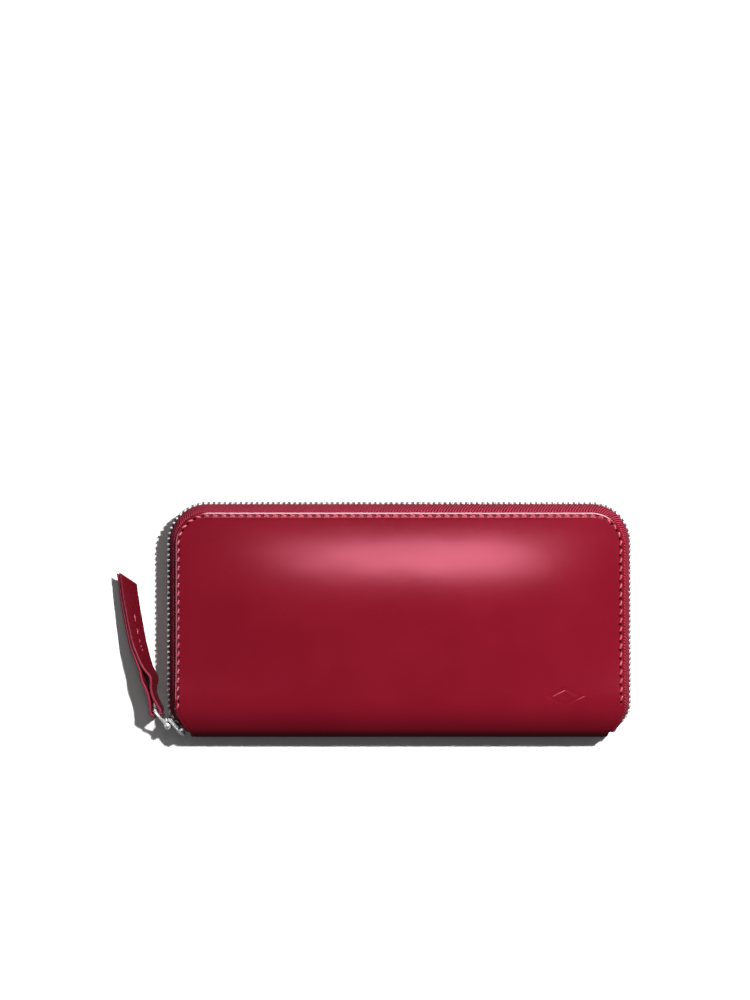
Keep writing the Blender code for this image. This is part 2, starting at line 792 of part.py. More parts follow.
def coin_slider():
    """Small slider of the coin pouch, closed position at the left end."""
    half = COIN_SLIDER_LENGTH / 2
    inner = COIN_CHANNEL / 2
    outer = inner + COIN_PLATE
    verts, faces = box_solid((-half, inner, -COIN_SLIDER_HALF), (half, outer, COIN_SLIDER_HALF))
    body = add_piece("coin_slider", verts, faces, steel())
    home = Vector((COIN_SLIDER_X, COIN_ZIP_Y, COIN_MID_Z)) * MM
    body.location = home
    narrow = COIN_DEPTH / 2 - GAP
    verts, faces = box_solid((-half, -outer, -narrow), (half, -inner, narrow))
    add_operand(body, "coin_slider_back", verts, faces, "UNION")
    verts, faces = box_solid((-half + 0.4, -inner - 0.2, -0.8), (-half + 2.2, inner + 0.2, 0.8))
    add_operand(body, "coin_slider_post", verts, faces, "UNION")
    pin_y = COIN_PIN_Y - COIN_ZIP_Y
    outline = lug_outline((0.0, pin_y), outer - 0.2, 1.5, COIN_LUG_RADIUS)
    verts, faces = annulus_prism((0.0, pin_y), COIN_PIN_HOLE, outline, 1.0)
    add_operand(body, "coin_slider_lug", verts, faces, "UNION")


def coin_pull():
    """Loop tab whose near bar lies in the slider's lug; it lies along the zip."""
    bar, half = COIN_PULL_BAR, COIN_PULL_HALF
    sections = []
    for x, z in ((0.0, -half), (COIN_PULL_LENGTH, -half), (COIN_PULL_LENGTH, half), (0.0, half)):
        sx = 1 if x else -1
        sz = math.copysign(1.0, z)
        wide = COIN_PULL_RIM if x else bar
        section = []
        for r, y in ((-1, -1), (1, -1), (1, 1), (-1, 1)):
            section.append((x + sx * r * wide, y * bar, z + sz * r * bar))
        sections.append(section)
    verts, faces = ring_from_sections(sections)
    pull = add_piece("coin_pull", verts, faces, steel())
    pull.location = Vector((COIN_SLIDER_X, COIN_PIN_Y, COIN_MID_Z)) * MM


def build_coin_pouch():
    coin_walls()
    coin_binding()
    coin_zip()
    coin_slider()
    coin_pull()


# ------------------------------------------------- main slider and pull

def slider_rest():
    """Pin axis in plan and the turn of the slider about it."""
    x, y, nx, ny = path_point(TAIL_LENGTH - SLIDER_FROM_BEND)
    along = (-ny, nx)
    pin = (x + nx * PIN_HEIGHT - along[0] * PIN_BACK, y + ny * PIN_HEIGHT - along[1] * PIN_BACK)
    return pin, math.atan2(along[1], along[0])


def slider_plate(near, far):
    """Shield-shaped plate; x runs along the zip, y from the teeth outward is negative."""
    half = SLIDER_LENGTH / 2
    rear, mouth = SLIDER_REAR / 2, SLIDER_MOUTH / 2
    edge = ((-half, rear - 0.8), (-half + 0.8, rear), (half - 3.2, mouth),
            (half - 0.9, mouth - 1.0), (half, mouth - 2.6))
    outline = [(x, z) for x, z in edge] + [(x, -z) for x, z in reversed(edge)]
    count = len(outline)
    verts = [(x + PIN_BACK, PIN_HEIGHT - near, z) for x, z in outline]
    verts += [(x + PIN_BACK, PIN_HEIGHT - far, z) for x, z in outline]
    faces = [tuple(range(count)), tuple(range(count, 2 * count))]
    for i in range(count):
        j = (i + 1) % count
        faces.append((i, j, j + count, i + count))
    return verts, faces


def slider_box(x_low, x_high, n_low, n_high, z_low, z_high):
    """Box in the slider's own frame; n is the height above the middle of the teeth."""
    return box_solid((x_low + PIN_BACK, PIN_HEIGHT - n_high, z_low),
                     (x_high + PIN_BACK, PIN_HEIGHT - n_low, z_high))


def zip_slider(pin, turn):
    """Two plates, the parting post, four edge flanges and the crown's lug."""
    channel = SLIDER_CHANNEL / 2
    plate = channel + SLIDER_PLATE
    verts, faces = slider_plate(channel, plate)
    body = add_piece("zip_slider", verts, faces, steel())
    body.location = Vector((pin[0], pin[1], MID_Z)) * MM
    body.rotation_euler = (0.0, 0.0, turn)
    verts, faces = slider_plate(-plate, -channel)
    add_operand(body, "zip_slider_back", verts, faces, "UNION")
    half = SLIDER_LENGTH / 2
    verts, faces = slider_box(half - 3.4, half - 1.0, -channel - 0.3, channel + 0.3,
                              -POST_HALF, POST_HALF)
    add_operand(body, "zip_slider_post", verts, faces, "UNION")
    edge = SLIDER_REAR / 2 - 0.1
    for side in (-1, 1):
        for hand in (-1, 1):
            near, far = side * (channel - 0.7), side * (channel + 0.3)
            low, high = hand * (edge - 0.6), hand * edge
            verts, faces = slider_box(-half + 0.9, half - 4.0, min(near, far), max(near, far),
                                      min(low, high), max(low, high))
            add_operand(body, f"zip_slider_flange_{side}_{hand}", verts, faces, "UNION")
    outline = lug_outline((0.0, 0.0), -(PIN_HEIGHT - plate) - 0.3, 2.4, PIN_HOLE + 0.75)
    verts, faces = annulus_prism((0.0, 0.0), PIN_HOLE, outline, CROWN_WIDTH / 2)
    verts = [(x, -y, z) for x, y, z in verts]
    add_operand(body, "zip_slider_crown", verts, faces, "UNION")


def circle_outline(radius, count=12):
    turns = [2 * math.pi * k / count for k in range(count)]
    return [(radius * math.cos(a), radius * math.sin(a)) for a in turns]


def slider_pin(pin):
    """Round pin through the crown and the two ears of the link."""
    verts, faces = prism(circle_outline(PIN_RADIUS), -LINK_EAR_Z - 1.1, LINK_EAR_Z + 1.1)
    obj = add_piece("slider_pin", verts, faces, steel())
    obj.location = Vector((pin[0], pin[1], MID_Z)) * MM


def pull_link(pin):
    """U-shaped wire link: two ears on the pin and a far bar for the strap."""
    ear, arm, half = LINK_EAR_Z, LINK_ARM_Z, LINK_WIRE / 2
    upper = ((-1.35, ear, 0.75), (-0.7, ear, LINK_EAR), (0.7, ear, LINK_EAR),
             (3.2, ear + 0.8, half), (5.2, arm, half), (LINK_REACH - 0.5, arm, half),
             (LINK_REACH, arm - 0.5, half))
    route = [(x, z, w) for x, z, w in upper] + [(x, -z, w) for x, z, w in reversed(upper)]
    sections = []
    for i, (x, z, wide) in enumerate(route):
        before = Vector(route[max(i - 1, 0)][:2])
        after = Vector(route[min(i + 1, len(route) - 1)][:2])
        along = (after - before).normalized()
        px, pz = -along.y, along.x
        sections.append([(x + px * t * half, u * wide, z + pz * t * half)
                         for t, u in ((-1, -1), (1, -1), (1, 1), (-1, 1))])
    verts, faces = tube_from_sections(sections)
    link = add_piece("pull_link", verts, faces, steel())
    link.location = Vector((pin[0], pin[1], MID_Z)) * MM
    link.rotation_euler = (0.0, 0.0, LINK_REST)
    verts, faces = prism(circle_outline(PIN_HOLE), -LINK_EAR_Z - 3.0, LINK_EAR_Z + 3.0)
    add_operand(link, "pull_link_bore", verts, faces, "DIFFERENCE")


def strap_frame(t):
    """Middle point, direction, width direction and thickness direction at 0..1."""
    count = len(STRAP_ROUTE) - 1
    place = min(t * count, count - 1e-6)
    i = int(place)
    f = place - i
    p = [Vector(STRAP_ROUTE[min(max(i + k, 0), count)]) for k in (-1, 0, 1, 2)]
    if i == 0:
        p[0] = 2 * p[1] - p[2]
    if i == count - 1:
        p[3] = 2 * p[2] - p[1]
    point = 0.5 * (2 * p[1] + (p[2] - p[0]) * f + (2 * p[0] - 5 * p[1] + 4 * p[2] - p[3]) * f**2
                   + (3 * p[1] - p[0] - 3 * p[2] + p[3]) * f**3)
    slope = 0.5 * ((p[2] - p[0]) + 2 * (2 * p[0] - 5 * p[1] + 4 * p[2] - p[3]) * f
                   + 3 * (3 * p[1] - p[0] - 3 * p[2] + p[3]) * f**2)
    along = Vector(slope[:3]).normalized()
    tilt = math.radians(point[3])
    level = Vector((0, 0, 1)).cross(along).normalized()
    upright = along.cross(level) * -1.0
    if upright.z < 0:
        upright = -upright
    wide = upright * math.cos(tilt) + level * math.sin(tilt)
    return Vector(point[:3]), along, wide, along.cross(wide).normalized()


def strap_section(centre, thick, wide, slant=None):
    half_w, half_t = STRAP_WIDTH / 2, STRAP_LEATHER / 2
    section = []
    for a, b in ((-1, -1), (1, -1), (1, 1), (-1, 1)):
        point = centre + thick * half_t * a + wide * half_w * b
        if slant and b < 0:
            point = point - slant
        section.append(tuple(point))
    return section


def pull_strap(bar):
    """One leather strip folded round the link's far bar, both leaves to the tip."""
    leaf = (STRAP_SPLIT + STRAP_LEATHER) / 2
    loop = STRAP_LOOP + STRAP_LEATHER / 2
    base = Vector((bar[0], bar[1], 0.0))
    sections = []
    for k in range(STRAP_STEPS, -1, -1):
        t = k / STRAP_STEPS
        middle, along, wide, thick = strap_frame(t)
        offset = leaf + (loop - leaf) * max(0.0, 1.0 - 5.0 * t) ** 2
        slant = along * STRAP_SLANT if k == STRAP_STEPS else None
        sections.append(strap_section(base + middle + thick * offset, thick, wide, slant))
    middle, along, wide, thick = strap_frame(0.0)
    for k in range(1, 6):
        a = math.pi * k / 6
        out = thick * math.cos(a) - along * math.sin(a)
        sections.append(strap_section(base + middle + out * loop, out, wide))
    for k in range(0, STRAP_STEPS + 1):
        t = k / STRAP_STEPS
        middle, along, wide, thick = strap_frame(t)
        offset = leaf + (loop - leaf) * max(0.0, 1.0 - 5.0 * t) ** 2
        slant = along * STRAP_SLANT if k == STRAP_STEPS else None
        sections.append(strap_section(base + middle - thick * offset, -thick, wide, slant))
    verts, faces = tube_from_sections(sections)
    add_piece("pull_strap", verts, faces, leather(), (bar[0], bar[1], MID_Z))


def strap_thread(bar):
    """Short row of stitches that closes the strap's loop, on the face that looks up."""
    base = Vector((bar[0], bar[1], 0.0))
    start, end = STRAP_SEAM
    sections = []
    for k in range(6):
        middle, along, wide, thick = strap_frame(start + (end - start) * k / 5)
        rise = STRAP_SPLIT / 2 + STRAP_LEATHER + 0.12
        section = []
        for a, b in ((0, -1), (1, -1), (1, 1), (0, 1)):
            section.append(tuple(base + middle + thick * (rise + 0.3 * a) + wide * 0.25 * b))
        sections.append(section)
    verts, faces = tube_from_sections(sections)
    add_piece("strap_thread", verts, faces, thread(), (bar[0], bar[1], MID_Z))


def build_slider_and_pull():
    pin, turn = slider_rest()
    bar = (pin[0] + LINK_REACH * math.cos(LINK_REST), pin[1] + LINK_REACH * math.sin(LINK_REST))
    zip_slider(pin, turn)
    slider_pin(pin)
    pull_link(pin)
    pull_strap(bar)
    strap_thread(bar)


if __name__ == "__main__":
    clear_scene()
    build_covers()
    build_zip()
    build_zip_ends()
    build_card_pockets()
    build_gussets()
    build_seams()
    build_coin_pouch()
    build_slider_and_pull()
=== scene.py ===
"""Looks of the long zip-around wallet: leather, seams, zip, slider, strap and inside.

Every length in the constants is in millimetres. Meshes are written in metres, in
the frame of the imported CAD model: +X along the wallet, +Y from the folded spine to
the zipped edge, +Z from the rear cover to the front cover.
"""

import json
import math

import bmesh
import bpy
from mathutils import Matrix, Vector


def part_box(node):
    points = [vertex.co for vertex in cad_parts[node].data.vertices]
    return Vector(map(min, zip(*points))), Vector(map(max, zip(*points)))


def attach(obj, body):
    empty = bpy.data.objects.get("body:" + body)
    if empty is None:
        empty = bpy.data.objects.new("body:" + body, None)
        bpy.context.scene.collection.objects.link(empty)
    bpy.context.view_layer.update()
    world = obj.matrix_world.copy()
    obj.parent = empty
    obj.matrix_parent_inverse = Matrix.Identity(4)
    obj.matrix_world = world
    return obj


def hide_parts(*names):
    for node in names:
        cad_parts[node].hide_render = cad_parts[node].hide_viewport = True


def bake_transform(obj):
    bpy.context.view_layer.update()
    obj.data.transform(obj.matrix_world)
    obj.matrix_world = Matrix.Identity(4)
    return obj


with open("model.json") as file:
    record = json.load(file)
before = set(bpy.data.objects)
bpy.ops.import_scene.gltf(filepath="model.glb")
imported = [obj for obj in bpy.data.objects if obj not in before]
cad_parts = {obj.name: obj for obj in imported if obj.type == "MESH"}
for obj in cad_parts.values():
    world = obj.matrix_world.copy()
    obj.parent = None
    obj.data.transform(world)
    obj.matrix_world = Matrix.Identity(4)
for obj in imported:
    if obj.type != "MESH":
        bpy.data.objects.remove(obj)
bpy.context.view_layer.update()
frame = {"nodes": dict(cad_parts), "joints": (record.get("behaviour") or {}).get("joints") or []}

MM = 0.001


def cad_box(node):
    """Lowest and highest corner of a CAD node, in millimetres."""
    return [[c / MM for c in corner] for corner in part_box(node)]


# ---- covers: their box comes from the CAD, their curves repeat its rules ----
HALF_LENGTH = cad_box("front_cover")[1][0]
TOP_EDGE = cad_box("front_cover")[1][1]
CROWN_Z = cad_box("front_cover")[1][2]
HINGE_Y = -50.0
SPINE_RADIUS = 11.5
MID_Z = SPINE_RADIUS
CORNER_RADIUS = 13.5
SPINE_HALF_LENGTH = 88.2
SIDE_CURVE_START = -37.0    # the short ends draw in towards the spine from here
SIDE_CURVE_PACE, SIDE_CURVE_POWER = 1.15, 1.5
SIDE_RISE_Y = -14.0         # the short ends' edges rise to the spine's height from here
EDGE_Z = 20.2               # front leather at its zipped edges
CROWN_Y = 4.0
CROWN_POWER = 3.2           # how squarely the padding swells across the front
TURN_Y = {1: -32.0, -1: HINGE_Y + SPINE_RADIUS}     # each face rolls down from here
REAR_EDGE_LIFT = 1.3
REAR_LIFT_WIDTH = 8.0
LEATHER = 1.2
EDGE_ROLL = 1.05            # width of the rounded outer edge of the leather
RIM_RINGS = (2.7, 2.3, 2.0, 1.7, 1.5, 1.35, 1.2)    # mesh rings beside the stitched line
RIM_FIELD = 3.2             # the even middle of a wrap-round sheet ends here
RIM_FAR = 9.0               # "inset" of every point away from the rim
LINING_DEPTH = 2.8
LINING = 0.4
LINING_INSET = 2.0

# ---- seam along the free edges ----
SEAM_INSET = 1.35
SEAM_START_Y = -37.5
STITCH_PITCH = 3.6
STITCH_LENGTH = 2.35
STITCH_WIDTH = 0.78
STITCH_FLAT = 0.62          # height of a thread against its width
HOLE_SHIFT = 0.26           # needle holes sit a little inside the stitch line
STITCH_SLANT = 0.42         # sideways shift of each end
SEAM_GROOVE = 0.14
SEAM_GROOVE_RUN = 0.38      # half width of the groove
SEAM_SWELL = 0.03           # height of the swell on the groove's inner side
SEAM_SWELL_INSET, SEAM_SWELL_RUN = 2.4, 0.6
SEAM_RADIUS = CORNER_RADIUS - SEAM_INSET
SIDE_RUN = TOP_EDGE - CORNER_RADIUS - SEAM_START_Y
CORNER_RUN = SEAM_RADIUS * math.pi / 2
TOP_RUN = 2 * (HALF_LENGTH - CORNER_RADIUS)
SEAM_RUN = 2 * (SIDE_RUN + CORNER_RUN) + TOP_RUN

# ---- zip ----
ZIP_HALF_LENGTH = 97.2
ZIP_TOP = 48.7
ZIP_CORNER_RADIUS = 16.0
TAIL_BEND_Y = -35.5
TAIL_TURN = math.radians(42.0)
TAIL_BEND_RADIUS = 10.0
TAIL_LENGTH = 7.5
TAPE = 0.55
TAPE_TUCK = 6.0             # how far the tape runs in under the leather
TAPE_STOP = 1.55            # its free edge stays this far from the parting plane
TAPE_BEAD = 0.22            # swelling of the cord that the teeth are clamped on
TAPE_STEP = 1.6
# Fall of the tape to the teeth: distance back from the zip's middle, share of the drop.
TAPE_FALL = ((2.5, 0.08), (1.6, 0.33), (0.8, 0.60), (0.35, 0.82), (0.3, 1.0))
TOOTH_PITCH = 2.28
TOOTH_WIDTH = 1.05
TOOTH_HEAD = 0.7            # width of a tooth's head against its legs
TOOTH_DEPTH = 2.2
TOOTH_REACH = 0.5           # a head passes the parting plane by this much
TOOTH_LEG = 2.3             # legs of a tooth reach this far from the parting plane
# From the legs to the head: distance from the parting plane, half width, share of the depth.
TOOTH_PROFILE = ((TOOTH_LEG, 0.30, 0.55), (TOOTH_LEG - 0.15, 0.44, 0.86), (1.0, 0.5, 1.0),
                 (0.35, 0.46, 0.97), (-TOOTH_REACH + 0.12, 0.42, 0.86), (-TOOTH_REACH, 0.30, 0.62))
TEETH_BARE_LEFT = 3
TEETH_BARE_RIGHT = 1
TAB_HALF = 1.0              # half the thickness of the folded cap on the zip's tail
TAB_SINK = 0.75             # how far its middle lies inside the line of the teeth

# ---- slider, link and strap, from the CAD's joints ----
JOINTS = {j["name"]: j for j in frame["joints"]}


def joint_place(name):
    return [c / MM for c in JOINTS[name]["pos_m"]]


PIN = joint_place("link_swing")
BAR = joint_place("strap_swing")
SLIDER_TURN = math.radians(-48.0)
LINK_REST = math.atan2(BAR[1] - PIN[1], BAR[0] - PIN[0])
LINK_REACH = math.dist(PIN[:2], BAR[:2])
SLIDER_LENGTH = 10.4
SLIDER_MOUTH = 9.4
SLIDER_REAR = 8.0
SLIDER_PLATE = 1.0
SLIDER_CHANNEL = 3.4
SLIDER_BEVEL = 0.22
LUG_HOLE, LUG_RADIUS, LUG_FOOT, LUG_HALF = 0.85, 1.6, 2.5, 1.5
PIN_HEIGHT = 4.5            # pin axis above the middle of the teeth
PIN_BACK = 2.5              # pin axis behind the middle of the slider
PIN_RADIUS = 0.55
LINK_EAR_Z = 2.6
LINK_ARM_Z = 5.1
LINK_WIRE = 1.4
STRAP_WIDTH = 8.0
STRAP_LEATHER = 1.3
STRAP_SPLIT = 0.35          # gap between the two leaves
STRAP_LOOP = LINK_WIRE / 2 + 0.85
STRAP_SLANT = 5.6           # one corner of the slanted end is this much shorter
STRAP_SLANT_START = 0.80    # the slant sets in here, from 0 at the ring to 1 at the end
STRAP_BULGE = 0.7           # how far the lower leaf bows out beyond the ring
STRAP_BOW = 1.7             # the same for the upper leaf
STRAP_BOW_PLACE, STRAP_BOW_RUN = 0.27, 0.075    # where both bow out most, and how far along
STRAP_SEAM = (0.51, 0.785)  # the row of stitches starts and ends here
STRAP_STITCHES = 5
# Route of the strap's middle from the far bar, as in the CAD: x, y, height, tilt.
STRAP_ROUTE = (
    (0.0, 0.0, 11.5, 0.0),
    (-2.3, 8.4, 11.3, 6.0),
    (-4.2, 15.7, 10.2, 18.0),
    (-6.9, 23.3, 8.6, 31.0),
    (-8.9, 29.7, 7.2, 40.0),
    (-12.2, 46.0, 5.0, 45.0),
    (-13.9, 58.0, 4.2, 45.0),
)

# ---- inside ----
POCKET_TOPS = (32.0, 20.0, 8.0)
POCKET_HEM = 0.12           # a pocket's turned top edge is this much thicker
SHEET_LOW_RADIUS, SHEET_HIGH_RADIUS = 1.5, 4.0
GUSSET_X = 92.0             # outermost line of a gusset's folds
GUSSET_Y = (-29.0, 14.0)
GUSSET_DEPTH = 2.6
GUSSET_CLEAR = 3.45         # from the outer surface of the leather to the gusset's edge
COIL_PITCH = 1.1
COIL_WIRE = 0.17            # radius of the coin zip's wire
COIL_REACH = 0.30


# ------------------------------------------------------------------ meshes

class Soup:
    """Closed shapes gathered into one mesh, with one number per point and name."""

    def __init__(self):
        self.verts = []
        self.faces = []
        self.values = {}

    def add(self, verts, faces, **values):
        start = len(self.verts)
        for key in set(self.values) | set(values):
            have = self.values.setdefault(key, [0.0] * start)
            have.extend(values.get(key, [0.0] * len(verts)))
        self.verts.extend(tuple(v) for v in verts)
        self.faces.extend(tuple(start + i for i in face) for face in faces)

    def build(self, name, mat, sharp=38.0):
        mesh = bpy.data.meshes.new(name)
        mesh.from_pydata([Vector(v) * MM for v in self.verts], [], self.faces)
        work = bmesh.new()
        work.from_mesh(mesh)
        bmesh.ops.recalc_face_normals(work, faces=work.faces)
        work.to_mesh(mesh)
        work.free()
        rest = mesh.attributes.new("rest", "FLOAT_VECTOR", "POINT")
        rest.data.foreach_set("vector", [c for v in self.verts for c in v])
        for key, values in self.values.items():
            layer = mesh.attributes.new(key, "FLOAT", "POINT")
            layer.data.foreach_set("value", values)
        mesh.materials.append(mat)
        mesh.shade_smooth()
        mesh.set_sharp_from_angle(angle=math.radians(sharp))
        obj = bpy.data.objects.new(name, mesh)
        bpy.context.scene.collection.objects.link(obj)
        return obj


def grid_faces(rows, columns, start=0, wrap=False):
    faces = []
    for r in range(rows - 1):
        for c in range(columns if wrap else columns - 1):
            a = start + r * columns + c
            b = start + r * columns + (c + 1) % columns
            faces.append((a, b, b + columns, a + columns))
    return faces


def join_loops(*pairs):
    """Faces between pairs of index loops, all of one length."""
    count = len(pairs[0][0])
    faces = []
    for k in range(count):
        n = (k + 1) % count
        faces += [(a[k], a[n], b[n], b[k]) for a, b in pairs]
    return faces


def loft(sections, ring=False):
    """Join closed sections of equal count; the ends are closed unless it is a ring."""
    count = len(sections[0])
    verts = [p for section in sections for p in section]
    faces = grid_faces(len(sections), count, wrap=True)
    first, last = range(count), range(len(verts) - count, len(verts))
    if ring:
        faces += join_loops((last, first))
    else:
        faces += [tuple(first), tuple(last)]
    return verts, faces


def loft_piece(name, mat, sections, sharp=38.0, **values):
    soup = Soup()
    soup.add(*loft(sections), **values)
    return soup.build(name, mat, sharp)


def rim_loop(rows, columns):
    """Indices round the border of a row-by-row grid."""
    loop = [(0, c) for c in range(columns)]
    loop += [(r, columns - 1) for r in range(1, rows)]
    loop += [(rows - 1, c) for c in range(columns - 2, -1, -1)]
    loop += [(r, 0) for r in range(rows - 2, 0, -1)]
    return loop


def ease(t):
    t = min(max(t, 0.0), 1.0)
    return t * t * (3 - 2 * t)


def mix(a, b, t):
    return a + (b - a) * t


def spline(a, b, c, d, f):
    """Catmull-Rom point between b and c, at f from 0 to 1."""
    return 0.5 * (2 * b + (c - a) * f + (2 * a - 5 * b + 4 * c - d) * f**2
                  + (3 * b - a - 3 * c + d) * f**3)


def circle(radius, count):
    return [(radius * math.cos(2 * math.pi * k / count), radius * math.sin(2 * math.pi * k / count))
            for k in range(count)]


def rounded_box_outline(half_a, half_b, radius, steps):
    """Closed outline of a rectangle with round corners."""
    points = []
    for quarter, (sa, sb) in enumerate(((1, 1), (-1, 1), (-1, -1), (1, -1))):
        for k in range(steps + 1):
            angle = math.pi / 2 * (quarter + k / steps)
            points.append((sa * (half_a - radius) + radius * math.cos(angle),
                           sb * (half_b - radius) + radius * math.sin(angle)))
    return points


# ------------------------------------------------------- leather surfaces

def side_half_width(y):
    if y > TOP_EDGE - CORNER_RADIUS:
        drop = y - (TOP_EDGE - CORNER_RADIUS)
        return HALF_LENGTH - CORNER_RADIUS + math.sqrt(max(CORNER_RADIUS**2 - drop**2, 0.0))
    if y < SIDE_CURVE_START:
        t = (SIDE_CURVE_START - y) / (SIDE_CURVE_START - HINGE_Y)
        share = min(1.0, SIDE_CURVE_PACE * t) ** SIDE_CURVE_POWER
        return HALF_LENGTH - (HALF_LENGTH - SPINE_HALF_LENGTH) * share
    return HALF_LENGTH


def face_height(x, y):
    """Outer height of the padded front cover, from its free edges to the spine."""
    spine_z = 2 * MID_Z
    if y > CROWN_Y:
        ridge = mix(CROWN_Z, EDGE_Z, ease((y - CROWN_Y) / (TOP_EDGE - CROWN_Y)))
    else:
        ridge = mix(CROWN_Z, spine_z, ease((CROWN_Y - y) / (CROWN_Y - TURN_Y[-1])))
    side = mix(EDGE_Z, spine_z - 0.4, ease((SIDE_RISE_Y - y) / (SIDE_RISE_Y - TURN_Y[-1])))
    side = min(side, ridge)
    across = min(abs(x) / max(side_half_width(y), 1.0), 1.0)
    return side + (ridge - side) * (1.0 - across**CROWN_POWER)


def front_height(x, y):
    if y >= TURN_Y[1]:
        return face_height(x, y)
    share = min((TURN_Y[1] - y) / (TURN_Y[1] - HINGE_Y), 1.0)
    return MID_Z + (face_height(x, TURN_Y[1]) - MID_Z) * math.sqrt(1.0 - share**2)


def rear_height(x, y):
    """Outer height of the rear cover: flat, turned up near its free edges."""
    inset = min(TOP_EDGE - y, HALF_LENGTH - abs(x))
    cx = HALF_LENGTH - CORNER_RADIUS
    cy = TOP_EDGE - CORNER_RADIUS
    if abs(x) > cx and y > cy:
        inset = CORNER_RADIUS - math.hypot(abs(x) - cx, y - cy)
    t = max(0.0, 1.0 - inset / REAR_LIFT_WIDTH)
    lift = REAR_EDGE_LIFT * t * t
    if y < TURN_Y[-1]:
        share = min((TURN_Y[-1] - y) / SPINE_RADIUS, 1.0)
        lift = mix(MID_Z, lift, math.sqrt(1.0 - share**2))
    return lift


def cover_height(side, x, y):
    return front_height(x, y) if side > 0 else rear_height(x, y)


CORNER_STEPS, FACE_STEPS, ROLL_STEPS, COLUMN_STEPS = 12, 26, 16, 84
COLUMN_CROWDING = 1.25      # columns stand closer together near the short ends


def shell_rows():
    """Rows of a wrap-round sheet, from the front's zipped edge to the rear's."""
    corner = [("corner", math.pi / 2 * k / CORNER_STEPS) for k in range(CORNER_STEPS + 1)]
    face = [("face", k / FACE_STEPS) for k in range(1, FACE_STEPS + 1)]
    roll = [("roll", math.pi / 2 * k / ROLL_STEPS) for k in range(1, ROLL_STEPS)]
    half = corner + face + roll
    front = [(1, kind, value) for kind, value in half]
    rear = [(-1, kind, value) for kind, value in reversed(half)]
    return front + [(1, "roll", math.pi / 2)] + rear


def shell_row(side, kind, value, inset, depth):
    """One row of points at a depth under the outer surface."""
    turn_y = TURN_Y[side]
    corner_y = TOP_EDGE - CORNER_RADIUS
    if kind == "corner":
        radius = CORNER_RADIUS - inset
        y = corner_y + radius * math.cos(value)
        half = HALF_LENGTH - CORNER_RADIUS + radius * math.sin(value)
    elif kind == "face":
        y = mix(corner_y, turn_y, value)
        half = side_half_width(y) - inset
    else:
        reach = turn_y - HINGE_Y
        y = turn_y - (reach - depth) * math.sin(value)
        half = side_half_width(turn_y - reach * math.sin(value)) - inset
    row = []
    for c in range(COLUMN_STEPS + 1):
        share = 2 * c / COLUMN_STEPS - 1
        x = half * math.copysign(1 - (1 - abs(share)) ** COLUMN_CROWDING, share)
        if kind == "roll":
            start = face_height(x, turn_y) if side > 0 else 2 * MID_Z
            z = MID_Z + side * (start - MID_Z - depth) * math.cos(value)
        else:
            z = cover_height(side, x, y) - side * depth
        row.append((x, y, z))
    return row


def shell_grid(inset, depth):
    return [shell_row(*row, inset, depth) for row in shell_rows()]


def seam_distance(side, kind, value, x):
    """Distance along the seam line beside a rim point."""
    if kind == "corner":
        run = SIDE_RUN + SEAM_RADIUS * (math.pi / 2 - value)
    elif kind == "face":
        run = mix(TOP_EDGE - CORNER_RADIUS, TURN_Y[side], value) - SEAM_START_Y
    else:
        run = TURN_Y[side] - (TURN_Y[side] - HINGE_Y) * math.sin(value) - SEAM_START_Y
    return run if x < 0 else SEAM_RUN - run


def groove(inset):
    """Depth of the stitched line, less the slight swell on its inner side."""
    dip = SEAM_GROOVE * math.exp(-((inset - SEAM_INSET) / SEAM_GROOVE_RUN) ** 2)
    swell = SEAM_SWELL * math.exp(-((inset - SEAM_SWELL_INSET) / SEAM_SWELL_RUN) ** 2)
    return dip - swell


def rim_rings(thickness, roll, stitched):
    """Inset and depth of the rings of points from the field round the rolled edge."""
    half = thickness / 2
    rings = [(inset, groove(inset) if stitched else 0.0) for inset in RIM_RINGS]
    for k in range(11):
        a = math.pi * k / 10
        reach = roll if k <= 5 else half
        rings.append((reach - reach * math.sin(a), half - half * math.cos(a)))
    return rings


def rim_runs(outer, loop):
    """Distance along the seam beside each point of the rim."""
    rows = shell_rows()
    runs = []
    for r, c in loop:
        x = outer[r][c][0]
        if r in (0, len(outer) - 1):
            runs.append(SIDE_RUN + CORNER_RUN + x + TOP_RUN / 2)
        else:
            runs.append(seam_distance(*rows[r], x))
    return runs


def wrap_sheet(name, mat, top, thickness, inset, roll, stitched=False):
    """A sheet that runs from the front's free edges round the spine to the rear's.

    Each point keeps its distance from the rim ("inset") and along the seam ("seam").
    """
    outer = shell_grid(inset + RIM_FIELD, top)
    inner = shell_grid(inset + RIM_FIELD, top + thickness)
    count_r, count_c = len(outer), len(outer[0])
    loop = rim_loop(count_r, count_c)
    loop_run = rim_runs(outer, loop)
    verts = [p for row in outer for p in row]
    faces = grid_faces(count_r, count_c)
    far = [RIM_FAR] * len(verts)
    runs = [0.0] * len(verts)
    previous = [r * count_c + c for r, c in loop]
    for index, run in zip(previous, loop_run):
        far[index] = RIM_FIELD
        runs[index] = run
    for extra, depth in rim_rings(thickness, roll, stitched):
        grid = shell_grid(inset + extra, top + depth)
        current = range(len(verts), len(verts) + len(loop))
        verts += [grid[r][c] for r, c in loop]
        far += [extra if depth < thickness / 2 else 0.0] * len(loop)
        runs += loop_run
        faces += join_loops((previous, current))
        previous = current
    start = len(verts)
    verts += [p for row in inner for p in row]
    far += [RIM_FAR] * (len(verts) - start)
    runs += [0.0] * (len(verts) - start)
    faces += grid_faces(count_r, count_c, start)
    faces += join_loops((previous, [start + r * count_c + c for r, c in loop]))
    soup = Soup()
    soup.add(verts, faces, inset=far, seam=runs)
    return soup.build(name, mat, sharp=60.0)


# --------------------------------------------------------------- stitches

